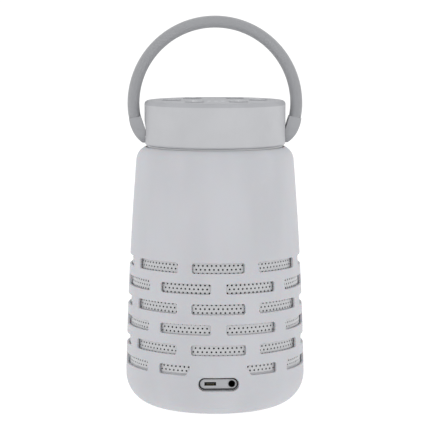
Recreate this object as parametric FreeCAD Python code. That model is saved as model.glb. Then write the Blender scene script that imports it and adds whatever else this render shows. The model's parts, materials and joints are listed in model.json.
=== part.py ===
"""Portable round speaker in a slotted silicone sleeve, with a carrying handle on two pivot pins.

Lengths are in millimetres. The frame stands on the sleeve's underside: the origin is on the
axis at the floor, +Z is up and -Y is the front, where the sockets are.
The sleeve is one body, and the speaker lifts out of it along +Z.
"""

import FreeCAD
import Part

import math
import os

V = FreeCAD.Vector
X_AXIS, Y_AXIS, Z_AXIS = V(1, 0, 0), V(0, 1, 0), V(0, 0, 1)
SIDES = {"left": -1, "right": 1}

# ---- sleeve outside -------------------------------------------------------------------------
base_round = 19.0        # radius of the rounded bottom edge
base_radius = 54.1       # outside radius just above the rounded edge
shoulder_radius = 47.5   # outside radius at the top of the flank
shoulder_height = 148.0  # where the flank turns into the shoulder
shoulder_round = 9.0     # radius of the shoulder's curve
flank_bulge = 0.94       # how far the flank stands outside a straight line
mouth_inset = 6.5        # of the opening at the top, inside the shoulder radius
underside_hole = 29.0    # radius of the opening underneath
sleeve_wall = 1.6

# ---- sleeve openings ------------------------------------------------------------------------
slot_rows = 6
slots_round = 8
row_pitch = 12.0
top_row_height = 88.7
slot_height = 6.0
slot_angle = 35.0        # degrees
slot_corner = 1.3
window_width = 24.2
window_height = 8.2
window_corner = 3.7
window_z = 20.7
window_border = 0.3      # of the sleeve's window beside the base's opening
window_lip = 0.2         # and above and below it
land_high = 17.0         # degrees from the front to the lowest slots' upper corners
land_low = 21.0          # and to their lower corners

# ---- clearances -----------------------------------------------------------------------------
sleeve_gap = 0.3         # between sleeve and speaker
fit_gap = 0.2            # between fixed parts that slot together
button_gap = 0.3
pin_clearance = 0.05
screw_clearance = 0.05

# ---- speaker shells -------------------------------------------------------------------------
shell_wall = 1.2
base_wall = 2.4
split_height = 26.5      # joint between the base and the metal shell
neck_height = 9.4        # from the shoulder to the underside of the control housing
cap_height = 26.6        # control housing and pad
cap_overhang = 1.4       # of the control housing over the sleeve's mouth
cap_wall = 2.5
cap_floor = 2.0
pad_thickness = 2.5
pad_edge = 2.2           # rounded edge of the pad
cap_edge = 1.5           # rounded lower edge of the control housing
spigot_wall = 3.6
spigot_depth = 11.4      # how far the control housing reaches down into the neck
foot_recess = 0.4        # the foot stands this much above the sleeve's underside
foot_outer = 27.5
foot_inner = 13.5

# ---- base fittings --------------------------------------------------------------------------
tripod_bore = 2.6
tripod_depth = 9.0
base_boss_radius = 3.4
base_boss_top = 22.0     # where the base's bosses meet those of the deflector
base_screw_seat = 18.0
insert_radius = 5.0
insert_flange = 7.2
insert_flange_thick = 1.5
insert_length = 10.6
contact_radius = 1.0
contact_circle = 11.6
contact_count = 4
contact_step = 22.0      # degrees between contacts
panel_plug_gap = 0.3
panel_setback = 2.2      # of the socket panel's face inside the base's own surface
panel_thick = 2.6
panel_flange = 1.5
panel_flange_width = 27.6
panel_flange_height = 10.6
usb_x = -4.8
usb_width = 7.6
usb_height = 2.9
usb_wall = 0.35
usb_depth = 6.5
tongue_width = 5.2
tongue_height = 0.7
jack_x = 7.8
jack_bore = 1.8
jack_collar = 2.7
jack_depth = 14.0
jack_body_width = 6.6
jack_body_height = 6.2

# ---- acoustic parts -------------------------------------------------------------------------
deflector_plate = 2.0
deflector_peak = 41.0
post_radius = 3.4
post_inset = 11.1        # of the posts inside the sleeve's base radius
baffle_low = 50.0
baffle_thick = 3.0
driver_border = 6.5      # width of the driver's mounting flange
driver_flange_thick = 2.4
driver_mouth = 31.5
surround_span = 5.0      # from the cone's edge to the frame
cone_throat = 11.0
cone_rise = 9.5
cone_thick = 0.7
cone_rim = 1.5           # flat rim that the surround is glued to
surround_thick = 0.5
surround_roll = 2.2
surround_lip = 2.4
rim_recess = 1.6         # the cone's rim lies this far inside the driver's front
coil_wall = 0.8
coil_length = 14.0
basket_rise = 16.0       # depth of the driver frame above its flange
basket_top_radius = 22.0
basket_wall = 1.5
basket_window = 3.2
spider_rise = 12.0
spider_thick = 0.6
spider_fold = 0.9
spider_outer = 22.0
spider_ledge = 1.4
dome_height = 4.2
gap_clearance = 0.7      # air on each side of the voice coil
front_plate_thick = 4.0
magnet_thick = 8.5
magnet_radius = 24.0
plate_radius = 22.0
back_plate_thick = 3.5
chamber_gap = 3.6        # between chamber wall and metal shell at the chamber's top
chamber_wall = 2.4
chamber_drop = 16.0      # of the chamber's top below the shoulder
gasket_thick = 0.8
lid_thick = 2.5
radiator_drop = 31.0     # of the radiators' middle below the chamber's top
radiator_boss = 21.0
radiator_bore = 16.5
radiator_setback = 3.2   # how far the radiator's face lies inside the chamber's own radius
boss_depth = 5.5
radiator_span = 4.5      # from the disc's edge to the bore
radiator_disc_thick = 2.0
radiator_weight = 1.8
radiator_flange_thick = 1.2
radiator_roll = 2.0

# ---- power and electronics ------------------------------------------------------------------
cell_radius = 9.1
cell_length = 50.0
cell_count = 3
cell_gap = 0.2
holder_thick = 4.0
holder_border = 1.4
holder_offset = 17.0     # of each end plate from the middle
tab_thick = 0.4
tab_width = 7.0
board_gap = 1.9          # between the main board and the lid's posts
board_thick = 1.6
standoff_height = 6.7
standoff_radius = 2.6
standoff_inset = 4.5     # of the board's screws from its edge
lid_post_radius = 2.6
control_board_rise = 13.6    # above the underside of the control housing
control_post_radius = 2.4
switch_side = 6.0
switch_body = 2.0
switch_plunger = 1.7

# ---- buttons --------------------------------------------------------------------------------
button_names = ("power", "volume_down", "play", "volume_up", "source", "pairing")
button_radius = 5.5
button_inset = 13.9      # of the buttons' middle from the housing's inner wall
button_proud = 0.6
button_ledge = 1.5       # how far the hidden flange stands out round a button
button_flange_thick = 1.5
button_stem = 1.9
button_travel = 0.8
lens_radius = 1.2
lens_circle = 12.0
lens_count = 3

# ---- handle ---------------------------------------------------------------------------------
pivot_rise = 7.1         # above the underside of the control housing
strap_thick = 7.2
strap_width = 11.0
strap_corner = 2.6
strap_clearance = 3.0    # between the strap's inside and the control housing
arch_rise = 17.5         # of the arch's centre above the pins
strap_tuck = 40.0        # radius of the strap's curve inwards below the arch
strap_end_rise = 9.5     # of the strap's lower ends above the pins
flat_depth = 0.8         # flat on the housing that each handle end turns against
flat_border = 1.4        # of that flat round the handle end
lug_border = 0.5         # of the handle end round the strap's width
lug_gap = 0.4
lug_thick = 2.9          # from the housing side to the seat of the pin's head
lug_toe = 1.5            # thickness at the lug's lower end
lug_bulge = 1.7
lug_knee = 2.0           # height above the pin where the lug leaves the housing
pin_radius = 2.0
pin_head_radius = 3.2
pin_head_thick = 1.1
pin_head_gap = 0.2
pin_boss_radius = 5.0
pin_boss_length = 5.5

# ---- screws ---------------------------------------------------------------------------------
screw_radius = 1.0
screw_head_radius = 1.9
screw_head = 1.3

# ---- derived sizes --------------------------------------------------------------------------
mouth_radius = shoulder_radius - mouth_inset
cap_low = shoulder_height + neck_height
total_height = cap_low + cap_height
cap_radius = mouth_radius + cap_overhang
speaker_inset = sleeve_wall + sleeve_gap
shell_inset = speaker_inset + shell_wall
neck_radius = mouth_radius - sleeve_gap
spigot_radius = neck_radius - shell_wall - fit_gap
spigot_low = cap_low - spigot_depth
pad_low = total_height - pad_thickness
base_floor = speaker_inset + base_wall
base_boss_circle = (foot_outer + foot_inner) / 2
panel_face = base_radius - speaker_inset - panel_setback
panel_step = panel_face - panel_thick
panel_back = panel_step - panel_flange
post_circle = base_radius - post_inset
driver_flange = driver_mouth + driver_border
cone_edge = driver_mouth - surround_span
baffle_top = baffle_low + baffle_thick
driver_face = baffle_low - driver_flange_thick
chamber_top = shoulder_height - chamber_drop
radiator_z = chamber_top - radiator_drop
radiator_disc = radiator_bore - radiator_span
lid_low = chamber_top + gasket_thick
lid_top = lid_low + lid_thick
board_low = lid_top + standoff_height
board_radius = spigot_radius - spigot_wall / 2 - lid_post_radius - board_gap
standoff_circle = board_radius - standoff_inset
cell_pitch = 2 * cell_radius + cell_gap
control_board_low = cap_low + control_board_rise
cap_inner = cap_radius - cap_wall
rim_z = driver_face + rim_recess
board_screw = board_thick + 4.0
button_rest_gap = 0.1
button_circle = cap_inner - button_inset
button_flange = button_radius + button_ledge
pivot_z = cap_low + pivot_rise
arch_z = pivot_z + arch_rise
strap_end_z = pivot_z + strap_end_rise
strap_radius = cap_radius + strap_clearance + strap_thick / 2
lug_radius = strap_width / 2 + lug_border
flat_radius = lug_radius + flat_border
flange_top = pad_low - button_rest_gap
switch_top = control_board_low + board_thick + switch_body + 0.1
stem_low = switch_top + button_travel + 0.05


# ---- drawing helpers ------------------------------------------------------------------------
def polar(radius, degrees, z=0.0):
    """A point at an angle round the axis, counted from the front towards +X."""
    a = math.radians(degrees)
    return V(radius * math.sin(a), -radius * math.cos(a), z)


def cylinder(radius, low, high, centre=V(0, 0, 0)):
    return Part.makeCylinder(radius, high - low, centre + V(0, 0, low))


def tube(outer, inner, low, high, centre=V(0, 0, 0)):
    return cylinder(outer, low, high, centre).cut(cylinder(inner, low - 1, high + 1, centre))


def rod(radius, start, end):
    """A round bar between two points."""
    return Part.makeCylinder(radius, (end - start).Length, start, end - start)


def box(x0, x1, y0, y1, z0, z1):
    return Part.makeBox(x1 - x0, y1 - y0, z1 - z0, V(x0, y0, z0))


def turned(points):
    """The solid made by turning a closed outline of (radius, height) corners about the axis."""
    corners = [V(r, 0, z) for r, z in points]
    face = Part.Face(Part.makePolygon(corners + corners[:1]))
    return face.revolve(V(0, 0, 0), Z_AXIS, 360)


def turned_edges(edges):
    face = Part.Face(Part.Wire(edges))
    return face.revolve(V(0, 0, 0), Z_AXIS, 360)


def arc(a, b, c):
    """The edge of the circle through three (radius, height) points."""
    return Part.Arc(*[V(r, 0, z) for r, z in (a, b, c)]).toShape()


def line(a, b):
    return Part.makeLine(V(a[0], 0, a[1]), V(b[0], 0, b[1]))


def rounded_bar(width, height, corner, y0, y1, x=0.0, z=0.0):
    """A bar along Y whose section is a rectangle with round corners."""
    bar = box(x - width / 2, x + width / 2, y0, y1, z - height / 2, z + height / 2)
    along = [e for e in bar.Edges if abs(e.tangentAt(e.FirstParameter).y) > 0.99]
    return bar.makeFillet(corner, along)


def fused(*shapes):
    return shapes[0].multiFuse(list(shapes[1:])).removeSplitter()


def turned_round(shape, count, start=0.0):
    """Copies of a shape, evenly spaced about the axis."""
    copies = []
    for i in range(count):
        copy = shape.copy()
        copy.rotate(V(0, 0, 0), Z_AXIS, start + 360.0 * i / count)
        copies.append(copy)
    return copies


def mirrored(shape, side):
    """The shape as made for +X, or its mirror image for -X."""
    return shape if side > 0 else shape.mirror(V(0, 0, 0), X_AXIS)


def screw(seat, way, length):
    """A pan-head screw whose head rests on seat, its shank pointing along way."""
    unit = V(way).normalize()
    head = rod(screw_head_radius, seat - unit * screw_head, seat)
    drive = rod(screw_head_radius * 0.35, seat - unit * (screw_head + 1), seat - unit * screw_head * 0.4)
    return head.fuse(rod(screw_radius, seat, seat + unit * length)).cut(drive)


def screw_hole(seat, way, length):
    unit = V(way).normalize()
    return rod(screw_radius + screw_clearance, seat - unit * 0.5, seat + unit * (length + 0.3))


# ---- the skin that sleeve and speaker share -------------------------------------------------
def flank_circle():
    """Centre and radius of the flank's curve, from its two ends and its bulge."""
    start, end = V(base_radius, 0, base_round), V(shoulder_radius, 0, shoulder_height)
    chord = end - start
    radius = (chord.Length ** 2 / 4 + flank_bulge ** 2) / (2 * flank_bulge)
    outward = V(chord.z, 0, -chord.x).normalize()
    return (start + end) * 0.5 - outward * (radius - flank_bulge), radius


FLANK, FLANK_RADIUS = flank_circle()


def skin_radius(inset, z):
    """Radius of the flank at a height, inset from the sleeve's outside."""
    return FLANK.x + math.sqrt((FLANK_RADIUS - inset) ** 2 - (z - FLANK.z) ** 2)


def tangent_centre(z, radius):
    """Centre of a curve of that radius that meets the flank from inside."""
    return V(FLANK.x + math.sqrt((FLANK_RADIUS - radius) ** 2 - (z - FLANK.z) ** 2), 0, z)


BASE_CENTRE = tangent_centre(base_round, base_round)
SHOULDER_CENTRE = tangent_centre(shoulder_height, shoulder_round)


def on_circle(centre, radius, radians):
    return (centre.x + radius * math.cos(radians), centre.z + radius * math.sin(radians))


def filled_skin(inset):
    """The solid inside the sleeve's outside surface, moved inwards by inset."""
    low = math.atan2(BASE_CENTRE.z - FLANK.z, BASE_CENTRE.x - FLANK.x)
    high = math.atan2(SHOULDER_CENTRE.z - FLANK.z, SHOULDER_CENTRE.x - FLANK.x)
    base, flank, top = base_round - inset, FLANK_RADIUS - inset, shoulder_round - inset
    quarter = math.pi / 2
    runs = [
        (BASE_CENTRE, base, -quarter, low),
        (FLANK, flank, low, high),
        (SHOULDER_CENTRE, top, high, quarter),
    ]
    edges = []
    for centre, radius, start, end in runs:
        edges.append(arc(*[on_circle(centre, radius, a) for a in (start, (start + end) / 2, end)]))
    bottom = on_circle(BASE_CENTRE, base, -quarter)
    peak = on_circle(SHOULDER_CENTRE, top, quarter)
    axis_low, axis_high = (0.0, bottom[1]), (0.0, peak[1])
    edges = [line(axis_low, bottom)] + edges + [line(peak, axis_high), line(axis_high, axis_low)]
    return turned_edges(edges)


# ---- sleeve ---------------------------------------------------------------------------------
def rounded_loop(corners, radius):
    """A closed wire through the corners, each of them rounded."""
    bends = []
    for i, corner in enumerate(corners):
        back = (corners[i - 1] - corner).normalize()
        ahead = (corners[(i + 1) % len(corners)] - corner).normalize()
        half = back.getAngle(ahead) / 2
        reach = radius / math.tan(half)
        middle = (back + ahead).normalize() * (radius / math.sin(half) - radius)
        bends.append(Part.Arc(corner + back * reach, corner + middle, corner + ahead * reach).toShape())
    edges = []
    for i, bend in enumerate(bends):
        following = bends[(i + 1) % len(bends)]
        start = bend.valueAt(bend.LastParameter)
        edges += [bend, Part.makeLine(start, following.valueAt(following.FirstParameter))]
    return Part.Wire(edges)


def slot_cutter(turn, z, start_low, start_high, end):
    """A slot at an angle round the sleeve; its ends run along the radius, given from turn."""
    low, high = z - slot_height / 2, z + slot_height / 2
    loops = []
    for reach in (mouth_radius - 8, base_radius + 8):
        corners = []
        for degrees, level in ((start_low, low), (end, low), (end, high), (start_high, high)):
            corners.append(V(reach * math.tan(math.radians(degrees)), -reach, level))
        loops.append(rounded_loop(corners, slot_corner))
    cutter = Part.makeLoft(loops, True, True)
    cutter.rotate(V(0, 0, 0), Z_AXIS, turn)
    return cutter


def slot_cutters():
    """All slots; the lowest two beside the window start further round, at a slant."""
    cutters = []
    pitch = 360.0 / slots_round
    half = slot_angle / 2
    for row in range(slot_rows):
        z = top_row_height - row * row_pitch
        offset = row % 2 * pitch / 2
        lowest = row == slot_rows - 1
        for i in range(slots_round):
            turn = offset + i * pitch
            beside_window = lowest and i in (0, slots_round - 1)
            if not beside_window:
                cutters.append(slot_cutter(turn, z, -half, -half, half))
        if lowest:
            low, high = land_low - offset, land_high - offset
            right = slot_cutter(offset, z, low, high, half)
            cutters += [right, mirrored(right, -1)]
    return cutters


def silicone_sleeve():
    wall = filled_skin(0).cut(filled_skin(sleeve_wall))
    wall = wall.cut(cylinder(mouth_radius, shoulder_height, shoulder_height + 2 * shoulder_round))
    wall = wall.cut(cylinder(underside_hole, -1, base_round))
    window = rounded_bar(
        window_width, window_height, window_corner, -base_radius - 8, -base_radius / 2, 0, window_z
    )
    return wall.cut(Part.makeCompound(slot_cutters() + [window]))


# ---- speaker shells -------------------------------------------------------------------------
def body_shell():
    """The metal shell from the base joint to the neck that the sleeve's mouth holds."""
    outside = filled_skin(speaker_inset).fuse(cylinder(neck_radius, shoulder_height, cap_low))
    inside = filled_skin(shell_inset).fuse(
        cylinder(neck_radius - shell_wall, shoulder_height, cap_low + 1)
    )
    return outside.cut(inside).cut(cylinder(base_radius, -1, split_height))


def contact_places():
    first = -contact_step * (contact_count - 1) / 2
    return [polar(contact_circle, 180 + first + contact_step * i) for i in range(contact_count)]


def base_screw_seats():
    return [polar(base_boss_circle, 45 + 90 * i, base_screw_seat) for i in range(4)]


def base_screw_length():
    return base_boss_top - base_screw_seat + 5.0


def post_screw_seats():
    return [polar(post_circle, 45 + 90 * i, split_height) for i in range(4)]


def post_screw_length():
    return baffle_low - split_height + 2.0


def base_shell():
    cup = filled_skin(speaker_inset).cut(filled_skin(base_floor))
    cup = cup.common(cylinder(base_radius, -1, split_height))
    boss_top = speaker_inset + insert_length - 0.6
    cup = cup.fuse(tube(insert_flange + 2.4, insert_flange + fit_gap, base_floor - 0.5, boss_top))
    cup = cup.cut(cylinder(insert_radius + fit_gap / 2, -1, base_floor + 1))
    for place in contact_places():
        cup = cup.cut(cylinder(contact_radius + fit_gap / 4, -1, base_floor + 1, place))
    for seat in base_screw_seats():
        foot = V(seat.x, seat.y, 0)
        cup = cup.fuse(cylinder(base_boss_radius, base_floor - 0.5, base_boss_top, foot))
        cup = cup.cut(cylinder(screw_head_radius + fit_gap, -1, base_screw_seat, foot))
        cup = cup.cut(screw_hole(seat, Z_AXIS, base_screw_length()))
    opening = rounded_bar(
        window_width - 2 * window_border, window_height - 2 * window_lip, window_corner,
        -base_radius, -panel_back, 0, window_z,
    )
    return cup.cut(opening)


def foot_ring():
    ring = tube(foot_outer, foot_inner, foot_recess, speaker_inset)
    low = [e for e in ring.Edges if abs(e.CenterOfMass.z - foot_recess) < 0.01 and e.Closed]
    return ring.makeFillet(0.5, low)


def tripod_insert():
    low, high = speaker_inset, speaker_inset + insert_length
    body = cylinder(insert_radius, low, high)
    flange = cylinder(insert_flange, base_floor, base_floor + insert_flange_thick)
    return fused(body, flange).cut(cylinder(tripod_bore, low - 1, low + tripod_depth))


def charging_contacts():
    pins = []
    for place in contact_places():
        pin = cylinder(contact_radius, speaker_inset - 0.4, base_floor + 2.0, place)
        collar = cylinder(contact_radius * 1.5, base_floor, base_floor + 1.0, place)
        pins.append(fused(pin, collar))
    return Part.makeCompound(pins)


def port_panel():
    plug = rounded_bar(
        window_width - 2 * window_border - panel_plug_gap,
        window_height - 2 * window_lip - panel_plug_gap,
        window_corner - panel_plug_gap / 2,
        -panel_face, -panel_step, 0, window_z,
    )
    flange = rounded_bar(
        panel_flange_width, panel_flange_height, panel_flange_height * 0.48,
        -panel_step, -panel_back, 0, window_z,
    )
    front, back = -panel_face - 1, -panel_back + 1
    usb = rounded_bar(usb_width + 0.1, usb_height + 0.1, 1.0, front, back, usb_x, window_z)
    jack = rod(
        jack_collar + screw_clearance,
        V(jack_x, front, window_z), V(jack_x, back, window_z),
    )
    return fused(plug, flange).cut(usb).cut(jack)


def usb_socket():
    front, back = -panel_face, -panel_face + usb_depth
    shell = rounded_bar(usb_width, usb_height, 0.95, front, back, usb_x, window_z)
    hollow = rounded_bar(
        usb_width - 2 * usb_wall, usb_height - 2 * usb_wall, 0.7, front - 1, back - 0.8, usb_x, window_z
    )
    tongue = box(
        usb_x - tongue_width / 2, usb_x + tongue_width / 2, front + 1.0, back - 0.5,
        window_z - tongue_height / 2, window_z + tongue_height / 2,
    )
    return fused(shell.cut(hollow), tongue)


def aux_jack():
    front = -panel_face
    collar = rod(jack_collar, V(jack_x, front, window_z), V(jack_x, -panel_back, window_z))
    body = box(
        jack_x - jack_body_width / 2, jack_x + jack_body_width / 2,
        -panel_back, front + jack_depth + 1.5,
        window_z - jack_body_height / 2, window_z + jack_body_height / 2,
    )
    bore = rod(jack_bore, V(jack_x, front - 1, window_z), V(jack_x, front + jack_depth, window_z))
    return fused(collar, body).cut(bore)


# ---- acoustic parts -------------------------------------------------------------------------
def deflector():
    """A dish whose centre rises under the driver, with four posts that carry the baffle."""
    low, high = split_height, split_height + deflector_plate
    edge = skin_radius(shell_inset, high) - fit_gap
    slope_top, slope_low = deflector_peak - 6.5, deflector_peak - 9.3
    dish = turned([
        (0, deflector_peak), (3, deflector_peak - 1.5), (9, slope_top), (17, high + 2.6),
        (26, high + 0.4), (34, high), (edge, high), (edge, low), (34, low),
        (26, low + 0.2), (17, low + 2.2), (9, slope_low), (0, deflector_peak - 4.0),
    ])
    posts = turned_round(cylinder(post_radius, high - 0.5, baffle_low, polar(post_circle, 45)), 4)
    boss = cylinder(base_boss_radius, base_boss_top, high, polar(base_boss_circle, 45))
    dish = fused(dish, *posts, *turned_round(boss, 4))
    for seat in post_screw_seats():
        dish = dish.cut(screw_hole(seat, Z_AXIS, baffle_low - low))
    for seat in base_screw_seats():
        dish = dish.cut(screw_hole(seat, Z_AXIS, base_screw_length()))
    return dish


def base_screws():
    """Screws from under the base into the deflector, hidden by the foot."""
    length = base_screw_length()
    return Part.makeCompound([screw(seat, Z_AXIS, length) for seat in base_screw_seats()])


def post_screws():
    """Screws from under the deflector up through its posts into the baffle."""
    length = post_screw_length()
    return Part.makeCompound([screw(seat, Z_AXIS, length) for seat in post_screw_seats()])


def driver_screw_seats():
    middle = (driver_mouth + surround_lip + driver_flange) / 2
    return [polar(middle, 90 * i, driver_face) for i in range(4)]


def lid_screw_seats():
    wall_middle = chamber_radius() - chamber_wall - 1.6
    return [polar(wall_middle, 60 * i, lid_top) for i in range(6)]


def baffle():
    edge = skin_radius(shell_inset, baffle_top) - fit_gap
    plate = tube(edge, basket_mouth() + fit_gap, baffle_low, baffle_top)
    for seat in driver_screw_seats():
        plate = plate.cut(screw_hole(seat, Z_AXIS, driver_flange_thick + baffle_thick - 0.8))
    for seat in post_screw_seats():
        plate = plate.cut(screw_hole(seat, Z_AXIS, post_screw_length()))
    return plate


def basket_mouth():
    """Outside radius of the driver frame where it passes through the baffle."""
    return driver_mouth + basket_wall


def driver_frame():
    low, top = baffle_low, baffle_low + basket_rise
    collar = coil_outer() + gap_clearance + 0.6
    flange = tube(driver_flange, driver_mouth + surround_lip + fit_gap, driver_face, low)
    step = tube(driver_flange, driver_mouth, rim_z, low)
    wall = turned([
        (driver_mouth, low - 0.5), (basket_mouth(), low - 0.5), (basket_mouth(), baffle_top),
        (basket_top_radius + 1, top), (basket_top_radius + 1, top + basket_wall),
        (collar, top + basket_wall), (collar, top), (basket_top_radius - basket_wall, top),
        (driver_mouth, baffle_top),
    ])
    spider_low = baffle_low + spider_rise
    ledge = tube(spider_outer + 3.0, spider_outer - 2.0, spider_low - spider_ledge, spider_low)
    frame = fused(flange, step, wall, ledge)
    level = V(0, 0, baffle_top + basket_window + 0.2)
    window = rod(basket_window, level, level - Y_AXIS * driver_flange)
    frame = frame.cut(Part.makeCompound(turned_round(window, 8)))
    for seat in driver_screw_seats():
        frame = frame.cut(screw_hole(seat, Z_AXIS, driver_flange_thick))
    return frame


def driver_screws():
    length = driver_flange_thick + baffle_thick - 1.0
    return Part.makeCompound([screw(seat, Z_AXIS, length) for seat in driver_screw_seats()])


def coil_outer():
    return cone_throat


def driver_cone():
    high = rim_z + cone_rise
    return turned([
        (cone_edge, rim_z), (cone_edge, rim_z + cone_thick), (cone_edge - cone_rim, rim_z + cone_thick),
        (cone_throat, high + cone_thick), (cone_throat, high), (cone_edge - cone_rim, rim_z),
    ])


def dust_cap():
    """A dome that closes the cone's throat, bulging towards the deflector."""
    rim = rim_z + cone_rise
    outer = (cone_throat ** 2 + dome_height ** 2) / (2 * dome_height)
    centre = V(0, 0, rim - dome_height + outer)
    edge = math.asin(cone_throat / outer) - math.pi / 2
    middle = (edge - math.pi / 2) / 2
    inner = outer - cone_thick
    ends = [[on_circle(centre, r, a) for a in (-math.pi / 2, middle, edge)] for r in (outer, inner)]
    return turned_edges([
        arc(*ends[0]), line(ends[0][2], ends[1][2]), arc(*ends[1]), line(ends[1][0], ends[0][0]),
    ])


def voice_coil():
    low = rim_z + cone_rise + cone_thick
    return tube(cone_throat, cone_throat - coil_wall, low, low + coil_length)


def rolled_ring(inner, outer, lip_in, lip_out, roll, thick):
    """A rubber half-roll between two flat lips on z = 0, the roll standing up from them."""
    middle = (inner + outer) / 2
    return turned_edges([
        line((lip_in, 0), (lip_in, thick)),
        line((lip_in, thick), (inner, thick)),
        arc((inner, thick), (middle, roll + thick), (outer, thick)),
        line((outer, thick), (lip_out, thick)),
        line((lip_out, thick), (lip_out, 0)),
        line((lip_out, 0), (outer - thick, 0)),
        arc((outer - thick, 0), (middle, roll), (inner + thick, 0)),
        line((inner + thick, 0), (lip_in, 0)),
    ])


def driver_surround():
    """The half-roll ring between the cone's rim and the frame."""
    ring = rolled_ring(
        cone_edge + 0.2, driver_mouth - 0.2, cone_edge - cone_rim + 0.3, driver_mouth + surround_lip,
        surround_roll, surround_thick,
    )
    ring.rotate(V(0, 0, 0), X_AXIS, 180)
    ring.translate(V(0, 0, rim_z))
    return ring


def spider():
    """The corrugated disc that centres the voice coil, resting on the frame's ledge."""
    z = baffle_low + spider_rise
    start, folds = cone_throat, 8
    step = (spider_outer - start) / folds
    lower = [(start + step * i, z + i % 2 * spider_fold) for i in range(folds + 1)]
    upper = [(r, h + spider_thick) for r, h in reversed(lower)]
    return turned(lower + upper)


def front_plate():
    low = baffle_low + basket_rise + basket_wall
    return tube(plate_radius, coil_outer() + gap_clearance, low, low + front_plate_thick)


def driver_magnet():
    low = baffle_low + basket_rise + basket_wall + front_plate_thick
    return tube(magnet_radius, coil_outer() + gap_clearance + 1.8, low, low + magnet_thick)


def back_plate():
    low = baffle_low + basket_rise + basket_wall
    seat = low + front_plate_thick + magnet_thick
    pole = cylinder(cone_throat - coil_wall - gap_clearance, low, seat + 0.5)
    plate = cylinder(plate_radius, seat, seat + back_plate_thick)
    return fused(pole, plate)


def chamber_radius():
    return skin_radius(shell_inset, chamber_top) - chamber_gap


def radiator_face():
    """Distance of the flat that each passive radiator sits on from the axis."""
    return chamber_radius() - radiator_setback


def chamber():
    """The sealed tube behind the driver, with a flat seat for a passive radiator on each side."""
    outer, inner, face = chamber_radius(), chamber_radius() - chamber_wall, radiator_face()
    shell = cylinder(outer, baffle_top, chamber_top)
    core = cylinder(inner, baffle_top - 1, chamber_top + 1)
    for side in SIDES.values():
        centre = V(side, 0, 0)
        boss = rod(radiator_boss, centre * (face - boss_depth) + V(0, 0, radiator_z),
                   centre * face + V(0, 0, radiator_z))
        shell = shell.fuse(boss)
        core = core.cut(boss)
    shell = shell.cut(core)
    for side in SIDES.values():
        centre = V(side, 0, 0)
        level = V(0, 0, radiator_z)
        shell = shell.cut(rod(radiator_boss, centre * face + level, centre * (outer + 5) + level))
        shell = shell.cut(rod(radiator_bore, centre * (face - 12) + level, centre * (face + 1) + level))
    for seat in lid_screw_seats():
        post = cylinder(2.4, chamber_top - 12, chamber_top, V(seat.x, seat.y, 0))
        shell = shell.fuse(post.common(cylinder(outer, 0, chamber_top)))
    for seat in lid_screw_seats():
        shell = shell.cut(screw_hole(seat, -Z_AXIS, lid_screw_length()))
    return shell.removeSplitter()


def lid_screw_length():
    return lid_thick + gasket_thick + 5.0


def lid_gasket():
    inner = chamber_radius() - chamber_wall - 3.8
    ring = tube(chamber_radius(), inner, chamber_top, lid_low)
    for seat in lid_screw_seats():
        ring = ring.cut(screw_hole(seat, -Z_AXIS, lid_screw_length()))
    return ring


def cap_screw_places():
    """Where the control housing's spigot is screwed to the lid's four posts."""
    middle = spigot_radius - spigot_wall / 2
    return [polar(middle, 90 * i + 45) for i in range(4)]


def board_screw_places():
    return [polar(standoff_circle, 90 * i + 45) for i in range(4)]


def chamber_lid():
    """The plate that closes the chamber and carries the main board and the control housing."""
    lid = cylinder(chamber_radius(), lid_low, lid_top)
    for place in cap_screw_places():
        lid = lid.fuse(cylinder(lid_post_radius, lid_top - 0.5, spigot_low, place))
    for place in board_screw_places():
        lid = lid.fuse(cylinder(standoff_radius, lid_top - 0.5, board_low, place))
    for seat in lid_screw_seats():
        lid = lid.cut(screw_hole(seat, -Z_AXIS, lid_thick))
    for place in cap_screw_places():
        lid = lid.cut(screw_hole(place + V(0, 0, spigot_low), -Z_AXIS, 5.0))
    for place in board_screw_places():
        lid = lid.cut(screw_hole(place + V(0, 0, board_low), -Z_AXIS, 4.0))
    return lid


def lid_screws():
    length = lid_screw_length()
    return Part.makeCompound([screw(seat, -Z_AXIS, length) for seat in lid_screw_seats()])


def along_x(shape):
    """A shape turned about Z, laid along +X with its z = 0 plane on the radiator's seat."""
    laid = shape.copy()
    laid.rotate(V(0, 0, 0), Y_AXIS, 90)
    laid.translate(V(radiator_face(), 0, radiator_z))
    return laid


def radiator_frame(side):
    """The ring that clamps the radiator's rubber edge to its seat."""
    low = surround_thick
    ring = tube(radiator_boss - 0.8, radiator_bore + 0.9, low, low + radiator_flange_thick)
    return mirrored(along_x(ring), side)


def radiator_surround(side):
    ring = rolled_ring(
        radiator_disc + 0.3, radiator_bore + 0.4, radiator_disc - 1.2, radiator_boss - 0.8,
        radiator_roll, surround_thick,
    )
    return mirrored(along_x(ring), side)


def radiator(side):
    """The weighted disc that moves with the air in the chamber."""
    back = -radiator_disc_thick
    disc = cylinder(radiator_disc, back, 0)
    weight = cylinder(radiator_disc * 0.55, back - radiator_weight, back)
    return mirrored(along_x(fused(disc, weight)), side)


# ---- power and electronics ------------------------------------------------------------------
def cell_centres():
    z = chamber_top - holder_border - cell_radius - 0.6
    first = -cell_pitch * (cell_count - 1) / 2
    return [V(first + cell_pitch * i, 0, z) for i in range(cell_count)]


def battery_cells():
    cells = []
    for centre in cell_centres():
        half = V(0, cell_length / 2, 0)
        can = rod(cell_radius, centre - half, centre + half)
        ends = [e for e in can.Edges if e.Closed]
        button = rod(2.6, centre + half, centre + half + V(0, 0.9, 0))
        cells.append(can.makeFillet(0.8, ends).fuse(button))
    return Part.makeCompound(cells)


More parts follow.
